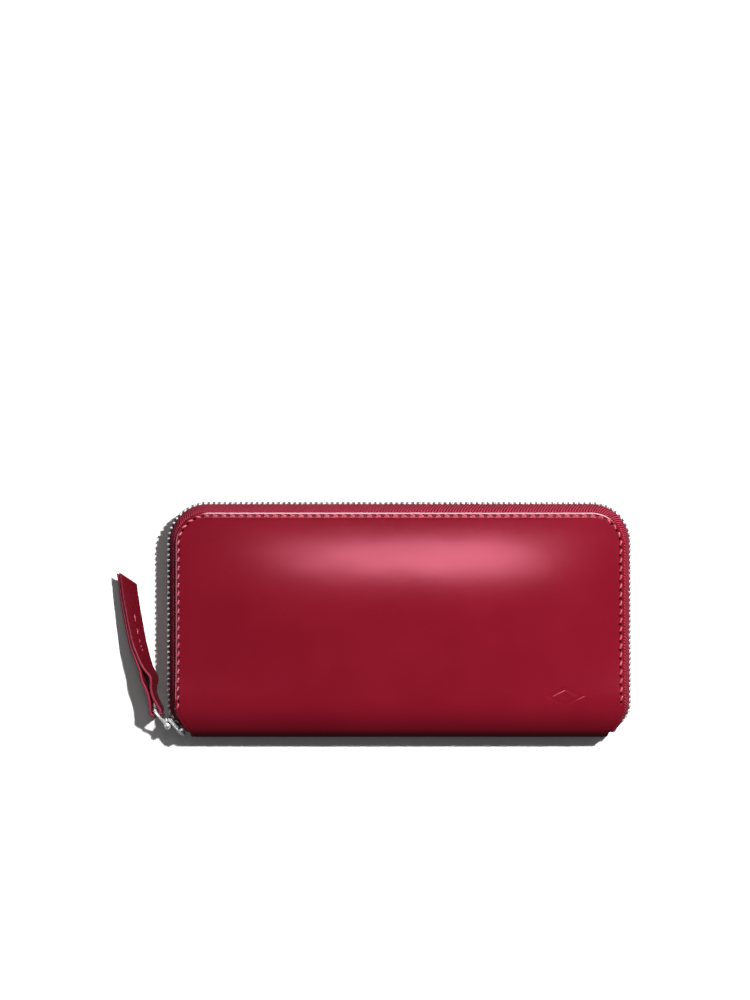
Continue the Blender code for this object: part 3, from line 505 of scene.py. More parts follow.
def seam_point(run):
    """Plan point and outward normal of the seam line at a distance from its left end."""
    corner_x = HALF_LENGTH - CORNER_RADIUS
    corner_y = TOP_EDGE - CORNER_RADIUS
    mirrored = run > SEAM_RUN / 2
    if mirrored:
        run = SEAM_RUN - run
    if run < SIDE_RUN:
        y = SEAM_START_Y + run
        point = (-(side_half_width(y) - SEAM_INSET), y, -1.0, 0.0)
    elif run < SIDE_RUN + CORNER_RUN:
        a = (run - SIDE_RUN) / SEAM_RADIUS
        nx, ny = -math.cos(a), math.sin(a)
        point = (-corner_x + SEAM_RADIUS * nx, corner_y + SEAM_RADIUS * ny, nx, ny)
    else:
        x = run - SIDE_RUN - CORNER_RUN - corner_x
        point = (x, TOP_EDGE - SEAM_INSET, 0.0, 1.0)
    x, y, nx, ny = point
    return (-x, y, -nx, ny) if mirrored else point


def stitch(soup, place, length, width, slant, sink=0.25, rise=0.30, sections=7, sides=8):
    """One thread stitch. place(along, across) gives the surface point and its normal."""
    rings = []
    for k in range(sections):
        t = k / (sections - 1)
        along = (t - 0.5) * length
        across = (0.5 - t) * 2 * slant
        lift = mix(-sink, rise, math.sin(math.pi * t) ** 0.6)
        fat = 0.55 + 0.45 * math.sin(math.pi * t) ** 0.5
        centre, up = place(along, across)
        ahead, _ = place(along + 0.05, across)
        forward = (ahead - centre).normalized()
        side = forward.cross(up).normalized()
        half = 0.5 * width
        rings.append([centre + up * (lift + half * STITCH_FLAT * fat * v) + side * (half * fat * u)
                      for u, v in circle(1.0, sides)])
    twist = [(k / (sections - 1)) * length for k in range(sections) for _ in range(sides)]
    soup.add(*loft(rings), twist=twist)


def seam_place(side, run):
    """Gives the cover's surface and normal near a point of its seam."""
    def place(along, across):
        x, y, nx, ny = seam_point(run + along)
        x, y = x + nx * across, y + ny * across
        step = 0.2
        z = cover_height(side, x, y)
        dx = cover_height(side, x + step, y) - z
        dy = cover_height(side, x, y + step) - z
        up = Vector((-dx / step, -dy / step, 1.0)).normalized() * side
        return Vector((x, y, z)) - up * SEAM_GROOVE * 0.8, up
    return place


def seam_stitches(name, side, mat):
    soup = Soup()
    count = int(SEAM_RUN / STITCH_PITCH)
    for k in range(count):
        run = (k + 0.5) * STITCH_PITCH
        stitch(soup, seam_place(side, run), STITCH_LENGTH, STITCH_WIDTH, STITCH_SLANT)
    return soup.build(name, mat)


# --------------------------------------------------------------------- zip

def arc_stations(cx, cy, radius, start, end, steps):
    stations = []
    for k in range(steps + 1):
        a = mix(start, end, k / steps)
        nx, ny = math.cos(a), math.sin(a)
        stations.append((cx + radius * nx, cy + radius * ny, nx, ny))
    return stations


def zip_path(step):
    """Plan path of the zip's middle with outward normals, left tail to right tail."""
    corner_x = ZIP_HALF_LENGTH - ZIP_CORNER_RADIUS
    corner_y = ZIP_TOP - ZIP_CORNER_RADIUS
    right = [(0.0, ZIP_TOP, 0.0, 1.0)]
    right += arc_stations(corner_x, corner_y, ZIP_CORNER_RADIUS, math.pi / 2, 0.0, 24)
    right += arc_stations(ZIP_HALF_LENGTH - TAIL_BEND_RADIUS, TAIL_BEND_Y,
                          TAIL_BEND_RADIUS, 0.0, -TAIL_TURN, 10)
    x, y, nx, ny = right[-1]
    right.append((x + TAIL_LENGTH * ny, y - TAIL_LENGTH * nx, nx, ny))
    left = [(-px, py, -qx, qy) for px, py, qx, qy in reversed(right[1:])]
    return resample(left + right, step)


def resample(points, step):
    """Stations at even steps along a line of stations."""
    lengths = [0.0]
    for a, b in zip(points, points[1:]):
        lengths.append(lengths[-1] + math.hypot(b[0] - a[0], b[1] - a[1]))
    count = max(2, round(lengths[-1] / step))
    out = []
    index = 0
    for k in range(count + 1):
        target = lengths[-1] * k / count
        while index < len(points) - 2 and lengths[index + 1] < target:
            index += 1
        t = (target - lengths[index]) / (lengths[index + 1] - lengths[index])
        station = [mix(points[index][i], points[index + 1][i], t) for i in range(4)]
        size = math.hypot(station[2], station[3])
        out.append((station[0], station[1], station[2] / size, station[3] / size))
    return out


def layer_height(side, x, y, depth):
    """Height of a layer at a depth under the leather, which follows it round the spine."""
    z = cover_height(side, x, y) - side * depth
    turn_y = TURN_Y[side]
    if y < turn_y:
        share = min((turn_y - y) / (turn_y - HINGE_Y - depth), 0.97)
        top = cover_height(side, x, turn_y) - side * depth
        z = MID_Z + (top - MID_Z) * math.sqrt(1.0 - share**2)
    return z


def tape_line(side, station):
    """Middle line of the tape at one station, from under the leather to the teeth."""
    x, y, nx, ny = station
    reach = ZIP_HALF_LENGTH - HALF_LENGTH
    depth = LEATHER + 0.2 + TAPE / 2
    plan = [(x - nx * back, y - ny * back) for back in (reach + TAPE_TUCK, reach + 0.6)]
    if y < TAIL_BEND_Y:
        fade = min((TAIL_BEND_Y - y) / 12.0, 1.0)
        edge_y = y + 1.2 * fade
        edge_x = side_half_width(edge_y) - 1.2
        hand = math.copysign(1.0, x)
        plan[0] = (hand * (edge_x - TAPE_TUCK + 0.6 + 3.5 * fade), edge_y + 1.0 * fade)
        plan[1] = (hand * edge_x, edge_y)
    heights = [layer_height(side, px, py, depth) for px, py in plan]
    fall = heights[1] - (MID_Z + side * TAPE_STOP)
    points = [Vector((*p, z)) for p, z in zip(plan, heights)]
    for back, share in TAPE_FALL:
        points.append(Vector((x - nx * back, y - ny * back, heights[1] - fall * share)))
    return points


def smooth_line(points, steps):
    """Catmull-Rom curve through the points."""
    out = []
    last = len(points) - 1
    for i in range(last):
        a = points[i - 1] if i else 2 * points[0] - points[1]
        b, c = points[i], points[i + 1]
        d = points[i + 2] if i + 2 <= last else 2 * points[last] - points[last - 1]
        for k in range(steps):
            f = k / steps
            out.append(spline(a, b, c, d, f))
    out.append(points[last].copy())
    return out


def zip_tape(name, side, mat):
    """Woven tape with the corded bead that the teeth are clamped on."""
    sections, along, across = [], [], []
    for i, station in enumerate(zip_path(TAPE_STEP)):
        line = smooth_line(tape_line(side, station), 3)
        tangent = Vector((station[3], -station[2], 0.0))
        outer, inner, walk = [], [], [0.0]
        for k, p in enumerate(line):
            before, after = line[max(k - 1, 0)], line[min(k + 1, len(line) - 1)]
            normal = tangent.cross((after - before).normalized()).normalized()
            left = (len(line) - 1 - k) / 3
            bead = TAPE_BEAD * max(0.0, 1.0 - left / 0.8)
            outer.append(p + normal * (TAPE / 2 + bead))
            inner.append(p - normal * (TAPE / 2 + bead))
            if k:
                walk.append(walk[-1] + (p - line[k - 1]).length)
        total = walk[-1]
        sections.append(outer + inner[::-1])
        along += [i * TAPE_STEP] * (2 * len(line))
        across += [total - w for w in walk] + [total - w for w in walk[::-1]]
    return loft_piece(name, mat, sections, 70.0, along=along, across=across)


def tooth(soup, station, side):
    """One cast tooth: two legs over the tape's bead and a hooked head."""
    x, y, nx, ny = station
    sections = []
    for reach, wide, deep in TOOTH_PROFILE:
        half_t = wide * TOOTH_WIDTH * (TOOTH_HEAD if reach < 0.5 else 1.0)
        half_n = deep * TOOTH_DEPTH / 2
        ring = rounded_box_outline(half_t, half_n, 0.8 * min(half_t, half_n) * 0.6, 2)
        sections.append([(x + ny * t + nx * n, y - nx * t + ny * n, MID_Z + side * reach)
                         for t, n in ring])
    soup.add(*loft(sections))


def teeth_row(name, side, mat):
    """Separate teeth along the path; the two rows stand half a pitch apart."""
    path = zip_path(TOOTH_PITCH / 4)
    shift = 0 if side > 0 else 2
    last = (len(path) - 5) // 4 - TEETH_BARE_RIGHT
    soup = Soup()
    for k in range(TEETH_BARE_LEFT, last):
        tooth(soup, path[4 * k + shift], side)
    return soup.build(name, mat, sharp=50.0)


def end_tab(name, mat):
    """Leather cap folded over the ends of the two tapes."""
    lo, hi = cad_box("zip_end_tab")
    stations = zip_path(0.5)[-15:]
    half_height = (hi[2] - lo[2]) / 2
    sections = []
    for k, (x, y, nx, ny) in enumerate(stations):
        shrink = (0.4, 0.12, 0.0)[min(k, len(stations) - 1 - k, 2)]
        ring = rounded_box_outline(TAB_HALF - shrink, half_height - shrink, 0.55, 4)
        sections.append([(x + nx * (n - TAB_SINK), y + ny * (n - TAB_SINK), MID_Z + z)
                         for n, z in ring])
    return loft_piece(name, mat, sections)


# ------------------------------------------------------------ slider, link

def at_pin(points, turn):
    """Turn points about Z and carry them from the pin's own frame to the wallet's."""
    c, s = math.cos(turn), math.sin(turn)
    return [(PIN[0] + x * c - y * s, PIN[1] + x * s + y * c, MID_Z + z) for x, y, z in points]


def bevelled(name, parts, mat, width, turn):
    """Solid parts given as (verts, faces) in the pin's frame, bevelled and turned."""
    soup = Soup()
    for verts, faces in parts:
        soup.add(at_pin(verts, turn), faces)
    obj = soup.build(name, mat, sharp=45.0)
    work = bmesh.new()
    work.from_mesh(obj.data)
    edges = [e for e in work.edges if len(e.link_faces) == 2 and e.calc_face_angle() > 0.6]
    bmesh.ops.bevel(work, geom=edges, offset=width * MM, segments=3, profile=0.5,
                    affect="EDGES", clamp_overlap=True)
    bmesh.ops.recalc_face_normals(work, faces=work.faces)
    work.to_mesh(obj.data)
    work.free()
    obj.data.shade_smooth()
    obj.data.set_sharp_from_angle(angle=math.radians(50))
    return obj


def shield(near, far):
    """Slider plate: broad rounded shoulders at the mouth, narrower behind."""
    half = SLIDER_LENGTH / 2
    rear, mouth = SLIDER_REAR / 2, SLIDER_MOUTH / 2
    edge = [(-half, rear - 1.1), (-half + 0.35, rear - 0.35), (-half + 1.1, rear)]
    edge += [(mix(-half + 1.1, half - 3.4, ease(k / 4)), mix(rear, mouth, ease(k / 4)))
             for k in range(1, 5)]
    edge += [(half - 1.9, mouth - 0.25), (half - 0.8, mouth - 0.95), (half - 0.15, mouth - 2.1),
             (half, mouth - 3.2)]
    outline = edge + [(x, -z) for x, z in reversed(edge)]
    n = len(outline)
    verts = [(x + PIN_BACK, PIN_HEIGHT - near, z) for x, z in outline]
    verts += [(x + PIN_BACK, PIN_HEIGHT - far, z) for x, z in outline]
    top, bottom = range(n), range(n, 2 * n)
    return verts, [tuple(top), tuple(bottom)] + join_loops((top, bottom))


def box(x_low, x_high, n_low, n_high, z_low, z_high):
    """Box in the slider's frame; n is the height above the middle of the teeth."""
    verts = [(x + PIN_BACK, PIN_HEIGHT - n, z)
             for z in (z_low, z_high)
             for x, n in ((x_low, n_low), (x_high, n_low), (x_high, n_high), (x_low, n_high))]
    faces = [(0, 1, 2, 3), (4, 5, 6, 7), (0, 1, 5, 4), (1, 2, 6, 5), (2, 3, 7, 6), (3, 0, 4, 7)]
    return verts, faces


def lug(hole, radius, foot, base_y, half_width):
    """Round head with a hole on a flared foot, extruded along the pin."""
    count, flare, flat = 28, 0.25, 0.3
    outline = []
    for k in range(count):
        a = 2 * math.pi * k / count
        c, s = math.cos(a), math.sin(a)
        x, y = radius * c, radius * s
        if s > flare:
            t = (s - flare) / (1 - flare)
            if abs(c) > flat:
                x = math.copysign(mix(abs(x), foot, ease(t)), x)
            else:
                x = foot * c / flat
            y = mix(y, base_y, ease(min(1.0, 1.6 * t)))
        outline.append((x, y))
    verts = [(x, y, z) for z in (-half_width, half_width)
             for x, y in outline + circle(hole, count)]
    rim_a, hole_a, rim_b, hole_b = (range(k * count, (k + 1) * count) for k in range(4))
    return verts, join_loops((rim_a, hole_a), (rim_b, hole_b), (rim_a, rim_b), (hole_a, hole_b))


def slider_body(mat):
    channel = SLIDER_CHANNEL / 2
    plate = channel + SLIDER_PLATE
    half = SLIDER_LENGTH / 2
    parts = [shield(channel, plate), shield(-plate, -channel)]
    parts.append(box(half - 3.4, half - 1.0, -channel - 0.3, channel + 0.3, -0.9, 0.9))
    edge = SLIDER_REAR / 2 - 0.1
    for side in (-1, 1):
        for hand in (-1, 1):
            near, far = sorted((side * (channel - 0.7), side * (channel + 0.3)))
            low, high = sorted((hand * (edge - 0.6), hand * edge))
            parts.append(box(-half + 0.9, half - 4.0, near, far, low, high))
    parts.append(lug(LUG_HOLE, LUG_RADIUS, LUG_FOOT, PIN_HEIGHT - plate + 0.3, LUG_HALF))
    body = bevelled("slider_body", parts, mat, SLIDER_BEVEL, SLIDER_TURN)
    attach(body, "runner")
    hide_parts("zip_slider")
    return body


def riveted_pin(mat):
    """Pin with a small domed head outside each eye of the link."""
    head = ((3.34, PIN_RADIUS), (3.36, 0.78), (3.45, 0.82), (3.68, 0.65), (3.75, 0.35))
    profile = [(-z, r) for z, r in reversed(head)] + list(head)
    sections = [at_pin([(x, y, z) for x, y in circle(r, 20)], 0.0) for z, r in profile]
    obj = loft_piece("riveted_pin", mat, sections, 50.0)
    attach(obj, "pin_carriage")
    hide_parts("slider_pin")
    return obj


def wire_link(mat):
    """Cast U link: two flat eyes on the pin, round arms and a round far bar."""
    ear, arm, half = LINK_EAR_Z, LINK_ARM_Z, LINK_WIRE / 2
    bend = 1.5
    route = [Vector((1.0, ear, 0)), Vector((2.2, ear + 0.25, 0)), Vector((3.6, ear + 1.2, 0)),
             Vector((4.8, arm - 0.15, 0)), Vector((LINK_REACH - bend, arm, 0))]
    for k in range(1, 5):
        a = math.pi / 2 * k / 4
        route.append(Vector((LINK_REACH - bend + bend * math.sin(a), arm - bend + bend * math.cos(a), 0)))
    route += [Vector((p.x, -p.y, 0)) for p in reversed(route)]
    line = smooth_line(route, 3)
    sections = []
    for i, p in enumerate(line):
        along = (line[min(i + 1, len(line) - 1)] - line[max(i - 1, 0)]).normalized()
        across = Vector((-along.y, along.x, 0))
        edge = min(i, len(line) - 1 - i)
        wide = half * (1.35 if edge < 3 else mix(1.35, 1.0, ease((edge - 3) / 6)))
        section = [(p.x + across.x * half * u, wide * v, p.y + across.y * half * u)
                   for u, v in circle(1.0, 14)]
        sections.append(at_pin(section, LINK_REST))
    soup = Soup()
    soup.add(*loft(sections))
    eye = ((0.68, -0.55), (0.78, -0.66), (1.15, -0.66), (1.32, -0.5),
           (1.32, 0.5), (1.15, 0.66), (0.78, 0.66), (0.68, 0.55))
    for hand in (-1, 1):
        rings = [at_pin([(r * x, r * y, hand * ear + z) for r, z in eye], LINK_REST)
                 for x, y in circle(1.0, 24)]
        soup.add(*loft(rings, ring=True))
    obj = soup.build("wire_link", mat, sharp=45.0)
    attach(obj, "link")
    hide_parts("pull_link")
    return obj


# ------------------------------------------------------------------- strap

def strap_frame(t):
    """Middle point, direction, width direction and thickness direction at 0..1."""
    count = len(STRAP_ROUTE) - 1
    place = min(max(t, 0.0) * count, count - 1e-6)
    i = int(place)
    f = place - i
    a, b, c, d = (Vector(STRAP_ROUTE[min(max(i + k, 0), count)]) for k in (-1, 0, 1, 2))
    if i == 0:
        a = 2 * b - c
    if i == count - 1:
        d = 2 * c - b
    point = spline(a, b, c, d, f)
    slope = 0.5 * ((c - a) + 2 * (2 * a - 5 * b + 4 * c - d) * f
                   + 3 * (3 * b - a - 3 * c + d) * f**2)
    along = Vector(slope[:3]).normalized()
    tilt = math.radians(point[3])
    level = Vector((0, 0, 1)).cross(along).normalized()
    upright = along.cross(level) * -1.0
    if upright.z < 0:
        upright = -upright
    wide = upright * math.cos(tilt) + level * math.sin(tilt)
    return Vector(point[:3]), along, wide, along.cross(wide).normalized()


STRAP_OUTLINE = rounded_box_outline(STRAP_LEATHER / 2, STRAP_WIDTH / 2, 0.42, 4)


def strap_ring(centre, thick, wide, along, slant):
    """Cross-section of a leaf with rounded long edges."""
    ring = []
    for a, b in STRAP_OUTLINE:
        point = centre + thick * a + wide * b
        point -= along * slant * (0.5 - b / STRAP_WIDTH)
        ring.append(point)
    return ring


def strap_sections():
    """Centres and directions along the strip: one leaf, the loop, the other leaf."""
    steps = 60
    leaf = (STRAP_SPLIT + STRAP_LEATHER) / 2
    loop = STRAP_LOOP + STRAP_LEATHER / 2
    out = []

    def leaf_part(t, hand):
        middle, along, wide, thick = strap_frame(t)
        offset = leaf + (loop - leaf) * max(0.0, 1.0 - 6.5 * t) ** 2
        bow = STRAP_BOW if hand > 0 else STRAP_BULGE
        offset += bow * math.exp(-((t - STRAP_BOW_PLACE) / STRAP_BOW_RUN) ** 2)
        slant = STRAP_SLANT * ease((t - STRAP_SLANT_START) / 0.20)
        return middle + thick * offset * hand, thick * hand, wide, along, slant

    for k in range(steps, -1, -1):
        out.append(leaf_part(k / steps, 1))
    middle, along, wide, thick = strap_frame(0.0)
    for k in range(1, 12):
        a = math.pi * k / 12
        around = thick * math.cos(a) - along * math.sin(a)
        out.append((middle + around * loop, around, wide, along, 0.0))
    for k in range(0, steps + 1):
        out.append(leaf_part(k / steps, -1))
    return out


def leather_strap(mat):
    base = Vector((BAR[0], BAR[1], 0.0))
    rings = [strap_ring(base + centre, *rest) for centre, *rest in strap_sections()]
    long_edge = [max(0.0, abs(b) / (STRAP_WIDTH / 2) - 0.9) * 10.0 for _, b in STRAP_OUTLINE]
    cut_end = [1.0] * len(STRAP_OUTLINE)
    edge = cut_end + long_edge * (len(rings) - 2) + cut_end
    obj = loft_piece("leather_strap", mat, rings, 60.0, edge=edge)
    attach(obj, "strap")
    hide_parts("pull_strap")
    return obj


def strap_stitches(mat):
    base = Vector((BAR[0], BAR[1], 0.0))
    soup = Soup()
    for k in range(STRAP_STITCHES):
        t = mix(*STRAP_SEAM, (k + 0.5) / STRAP_STITCHES)

        def place(along, across):
            middle, _, wide, thick = strap_frame(t + along / 60.0)
            rise = STRAP_SPLIT / 2 + STRAP_LEATHER
            return base + middle + thick * rise + wide * across, thick
        stitch(soup, place, 1.9, 0.5, 0.1, sink=0.2, rise=0.12)
    obj = soup.build("strap_stitches", mat)
    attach(obj, "strap")
    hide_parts("strap_thread")
    return obj


# ------------------------------------------------------------------ inside

def sheet_grid(node, inset, z, turned):
    """Rows of points over a flat CAD sheet with round corners, from its top edge down.

    The top hem stands off the sheet by the thickness turned.
    """
    (_, low, _), (half, high, _) = cad_box(node)
    r_low, r_high = SHEET_LOW_RADIUS, SHEET_HIGH_RADIUS
    rows = []
    for k in range(7):
        a = math.pi / 2 * k / 6
        rows.append((high - r_high + (r_high - inset) * math.cos(a),
                     half - r_high + (r_high - inset) * math.sin(a)))
    for k in range(1, 22):
        rows.append((mix(high - r_high, low + r_low, k / 22), half - inset))
    for k in range(5):
        a = math.pi / 2 * k / 4
        rows.append((low + r_low - (r_low - inset) * math.sin(a),
                     half - r_low + (r_low - inset) * math.cos(a)))
    return [[(wide * (c / 20 - 1), y, z + turned * ease((y - high + 2.6) / 0.5))
             for c in range(41)] for y, wide in rows]


def sheet_solid(name, node, mat, hem=0.0):
    """A flat CAD sheet with rounded edges and, where it has a hem, a thicker top edge."""
    lo, hi = cad_box(node)
    face = 1 if (lo[2] + hi[2]) / 2 < MID_Z else -1
    near, far = (hi[2], lo[2]) if face > 0 else (lo[2], hi[2])
    near -= face * hem
    upper = sheet_grid(node, 0.25, near, hem * face)
    rim = sheet_grid(node, 0.0, (near + far) / 2, hem * face * 0.5)
    lower = sheet_grid(node, 0.25, far, 0.0)
    rows, count = len(upper), len(upper[0])
    loop = rim_loop(rows, count)
    verts = [p for row in upper for p in row]
    middle = range(len(verts), len(verts) + len(loop))
    verts += [rim[r][c] for r, c in loop]
    start = len(verts)
    verts += [p for row in lower for p in row]
    top = [r * count + c for r, c in loop]
    faces = grid_faces(rows, count) + grid_faces(rows, count, start)
    faces += join_loops((top, middle), (middle, [start + i for i in top]))
    soup = Soup()
    soup.add(verts, faces)
    obj = soup.build(name, mat, sharp=50.0)
    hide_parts(node)
    return obj


def flat_stitches(soup, start, end, z, face, pitch=3.0):
    """Row of stitches on a flat sheet from one plan point to another."""
    run = math.dist(start, end)
    dx, dy = (end[0] - start[0]) / run, (end[1] - start[1]) / run
    up = Vector((0, 0, face))
    for k in range(int(run / pitch)):
        s = (k + 0.5) * pitch

        def place(along, across):
            x = start[0] + dx * (s + along) - dy * across
            y = start[1] + dy * (s + along) + dx * across
            return Vector((x, y, z)), up
        stitch(soup, place, pitch * 0.72, 0.4, 0.06, sink=0.12, rise=0.08, sections=5, sides=6)


def card_pockets(leather_mat, lining_mat, thread_mat):
    """Card slots on both halves: a base and three stepped pockets with turned edges."""
    for half, face in (("rear", 1), ("front", -1)):
        body = f"{half}_half"
        base = sheet_solid(f"{half}_pocket_base", f"{half}_card_base", lining_mat)
        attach(base, body)
        threads = Soup()
        for k in range(1, 4):
            node = f"{half}_card_pocket_{k}"
            sheet = sheet_solid(f"{half}_card_slot_{k}", node, leather_mat, POCKET_HEM)
            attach(sheet, body)
            lo, hi = cad_box(node)
            z = hi[2] if face > 0 else lo[2]
            flat_stitches(threads, (lo[0] + 5, hi[1] - 2.0), (hi[0] - 5, hi[1] - 2.0), z, face)
            below = POCKET_TOPS[k] if k < 3 else lo[1] + 2.0
            z -= face * POCKET_HEM
            flat_stitches(threads, (0.0, hi[1] - 3.5), (0.0, below + 0.8), z, face)
        obj = threads.build(f"{half}_pocket_stitches", thread_mat)
        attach(obj, body)


def side_gusset(hand, word, mat):
    """Pleated cloth that joins the two linings at one short end."""
    sections = []
    count, steps = 12, 16
    for k in range(count + 1):
        y = mix(*GUSSET_Y, k / count)
        bottom = rear_height(92.6, y) + GUSSET_CLEAR
        top = front_height(92.6, y) - GUSSET_CLEAR
        depth = GUSSET_DEPTH * (0.35 + 0.65 * math.sin(math.pi * (k + 1) / (count + 2)))
        outer, inner = [], []
        for i in range(steps + 1):
            t = i / steps
            x = GUSSET_X - depth * (0.5 - 0.5 * math.cos(2 * math.pi * 2 * t))
            z = mix(bottom, top, t)
            outer.append((hand * (x + 0.2), y, z))
            inner.append((hand * (x - 0.2), y, z))
        sections.append(outer + inner[::-1])
    obj = loft_piece(f"side_gusset_{word}", mat, sections, 80.0)
    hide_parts(f"rear_gusset_{word}", f"front_gusset_{word}")
    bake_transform(obj)


def pouch_wall(half, mat):
    wall = sheet_solid(f"pouch_wall_{half}", f"coin_wall_{half}", mat)
    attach(wall, "coin_pouch")


def pouch_tape(half, mat):
    lo, hi = cad_box(f"coin_zip_tape_{half}")
    sections, along, across = [], [], []
    count = 110
    for k in range(count + 1):
        x = mix(lo[0], hi[0], k / count)
        ring = rounded_box_outline((hi[1] - lo[1]) / 2, (hi[2] - lo[2]) / 2, 0.16, 2)
        sections.append([(x, (lo[1] + hi[1]) / 2 + a, (lo[2] + hi[2]) / 2 + b) for a, b in ring])
        along += [x - lo[0]] * len(ring)
        across += [b for _, b in ring]
    tape = loft_piece(f"pouch_tape_{half}", mat, sections, 60.0, along=along, across=across)
    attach(tape, "coin_pouch")
    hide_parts(f"coin_zip_tape_{half}")


def pouch_coil(half, mat):
    """Coin zip's teeth: half turns of a wire, each row half a pitch from the other."""
    side, first = (-1, 0.95) if half == "rear" else (1, 0.5)
    lo, hi = cad_box(f"coin_teeth_{half}")
    y, z = (lo[1] + hi[1]) / 2, (lo[2] + hi[2]) / 2
    soup = Soup()
    for k in range(int((hi[0] - lo[0]) / COIL_PITCH)):
        x = lo[0] + (k + first) * COIL_PITCH
        rings = []
        for t in range(9):
            a = math.pi * t / 8
            reach = -side * COIL_REACH * math.sin(a)
            rise = 0.26 * math.cos(a)
            rings.append([(x + COIL_WIRE * u, y + rise + COIL_WIRE * v * math.cos(a),
                           z + side * 0.20 + reach - side * COIL_WIRE * v * math.sin(a))
                          for u, v in circle(1.0, 6)])
        soup.add(*loft(rings))
    teeth = soup.build(f"pouch_coil_{half}", mat)
    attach(teeth, "coin_pouch")
    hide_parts(f"coin_teeth_{half}")


def coin_pouch(lining_mat, tape_mat, metal, thread_mat):
    """Zipped coin pouch between the card pockets."""
    for half in ("rear", "front"):
        pouch_wall(half, lining_mat)
        pouch_tape(half, tape_mat)
        pouch_coil(half, metal)
    lo, hi = cad_box("coin_wall_front")
    threads = Soup()
    for face, z in ((1, hi[2]), (-1, cad_box("coin_wall_rear")[0][2])):
        flat_stitches(threads, (lo[0] + 4, hi[1] - 1.6), (hi[0] - 4, hi[1] - 1.6), z, face)
        for x in (lo[0] + 1.8, hi[0] - 1.8):
            flat_stitches(threads, (x, lo[1] + 3), (x, hi[1] - 4), z, face)
    obj = threads.build("pouch_stitches", thread_mat)
    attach(obj, "coin_pouch")


# --------------------------------------------------------------- materials

class Nodes:
    """Short ways to add nodes to the tree of a material or of the world."""

    def __init__(self, tree):
        self.tree = tree

    def put(self, kind, **inputs):
        node = self.tree.nodes.new(kind)
        for key, value in inputs.items():
            self.wire(value, node.inputs[key.replace("_", " ")])
        return node

    def wire(self, value, socket):
        if isinstance(value, bpy.types.NodeSocket):
            self.tree.links.new(value, socket)
        else:
            socket.default_value = value

    def attribute(self, name, output="Fac"):
        node = self.put("ShaderNodeAttribute")
        node.attribute_name = name
        return node.outputs[output]

    def place(self, own=True):
        """Place at rest in millimetres: of a mesh built here, or of a CAD node."""
        if own:
            return self.attribute("rest", "Vector")
        node = self.put("ShaderNodeTexCoord")
        scaled = self.put("ShaderNodeVectorMath")
        scaled.operation = "SCALE"
        self.wire(node.outputs["Object"], scaled.inputs[0])
        scaled.inputs["Scale"].default_value = 1 / MM
        return scaled.outputs[0]

    def math(self, operation, *values):
        node = self.put("ShaderNodeMath")
        node.operation = operation
        for i, value in enumerate(values):
            self.wire(value, node.inputs[i])
        return node.outputs[0]

    def plus(self, a, b):
        return self.math("ADD", a, b)

    def minus(self, a, b):
        return self.math("SUBTRACT", a, b)

    def times(self, a, b):
        return self.math("MULTIPLY", a, b)

    def over(self, a, b):
        return self.math("DIVIDE", a, b)

    def span(self, value, low, high, to_low=0.0, to_high=1.0, smooth=False):
        node = self.put("ShaderNodeMapRange")
        if smooth:
            node.interpolation_type = "SMOOTHSTEP"
        for i, item in enumerate((value, low, high, to_low, to_high)):
            self.wire(item, node.inputs[i])
        return node.outputs[0]

    def noise(self, where, size, detail=3.0):
        """Noise whose lumps are about size millimetres across."""
        node = self.put("ShaderNodeTexNoise", Vector=where, Scale=1.0 / size, Detail=detail,
                        Roughness=0.55)
        return node.outputs["Fac"]

    def cells(self, where, size):
        node = self.put("ShaderNodeTexVoronoi", Vector=where, Scale=1.0 / size)
        return node.outputs["Distance"]

    def blend(self, factor, a, b):
        node = self.put("ShaderNodeMix")
        node.data_type = "RGBA"
        self.wire(factor, node.inputs[0])
        self.wire(a, node.inputs[6])
        self.wire(b, node.inputs[7])
        return node.outputs[2]

    def bump(self, height, depth, normal=None):
        """Relief of a height field; depth is in millimetres."""
        node = self.put("ShaderNodeBump", Height=height, Distance=depth * MM)
        node.inputs["Strength"].default_value = 1.0
        if normal is not None:
            self.wire(normal, node.inputs["Normal"])
        return node.outputs[0]

    def parts(self, vector):
        return self.put("ShaderNodeSeparateXYZ", Vector=vector).outputs


class Shader(Nodes):
    """The nodes of one procedural material."""

    def __init__(self, name):
        self.mat = bpy.data.materials.new(name)
        self.mat.use_nodes = True
        super().__init__(self.mat.node_tree)
        self.bsdf = self.tree.nodes["Principled BSDF"]

    def set(self, **inputs):
        for key, value in inputs.items():
            self.wire(value, self.bsdf.inputs[key.replace("_", " ")])


def rgb(red, green, blue):
    return (red, green, blue, 1.0)


LEATHER_BASE = rgb(0.157, 0.0050, 0.0130)
LEATHER_DEEP = rgb(0.143, 0.0040, 0.0110)
LEATHER_EDGE = rgb(0.132, 0.0040, 0.0105)
LEATHER_GLOSS = rgb(1.0, 0.32, 0.45)
LEATHER_CUT = rgb(0.30, 0.035, 0.06)
# painted shade for the leather's roll down into the spine
LEATHER_SPINE_SHADE = rgb(0.02, 0.0005, 0.0015)
THREAD_COLOUR = rgb(0.50, 0.065, 0.10)
# darker thread tone, also used as painted shade in the grooves of the twist
THREAD_SHADE = rgb(0.30, 0.025, 0.05)
TAPE_COLOUR = rgb(0.40, 0.026, 0.056)
# painted shade for the valleys of the tape's weave
TAPE_SHADE = rgb(0.04, 0.001, 0.004)
TAPE_GLOSS = rgb(1.0, 0.40, 0.50)
# painted shade for the teeth where the two rows mesh
TEETH_PAINTED_SHADE = rgb(0.075, 0.072, 0.072)
LINING_COLOUR = rgb(0.150, 0.006, 0.016)
# painted shade for the valleys of the lining's twill
LINING_SHADE = rgb(0.075, 0.003, 0.008)
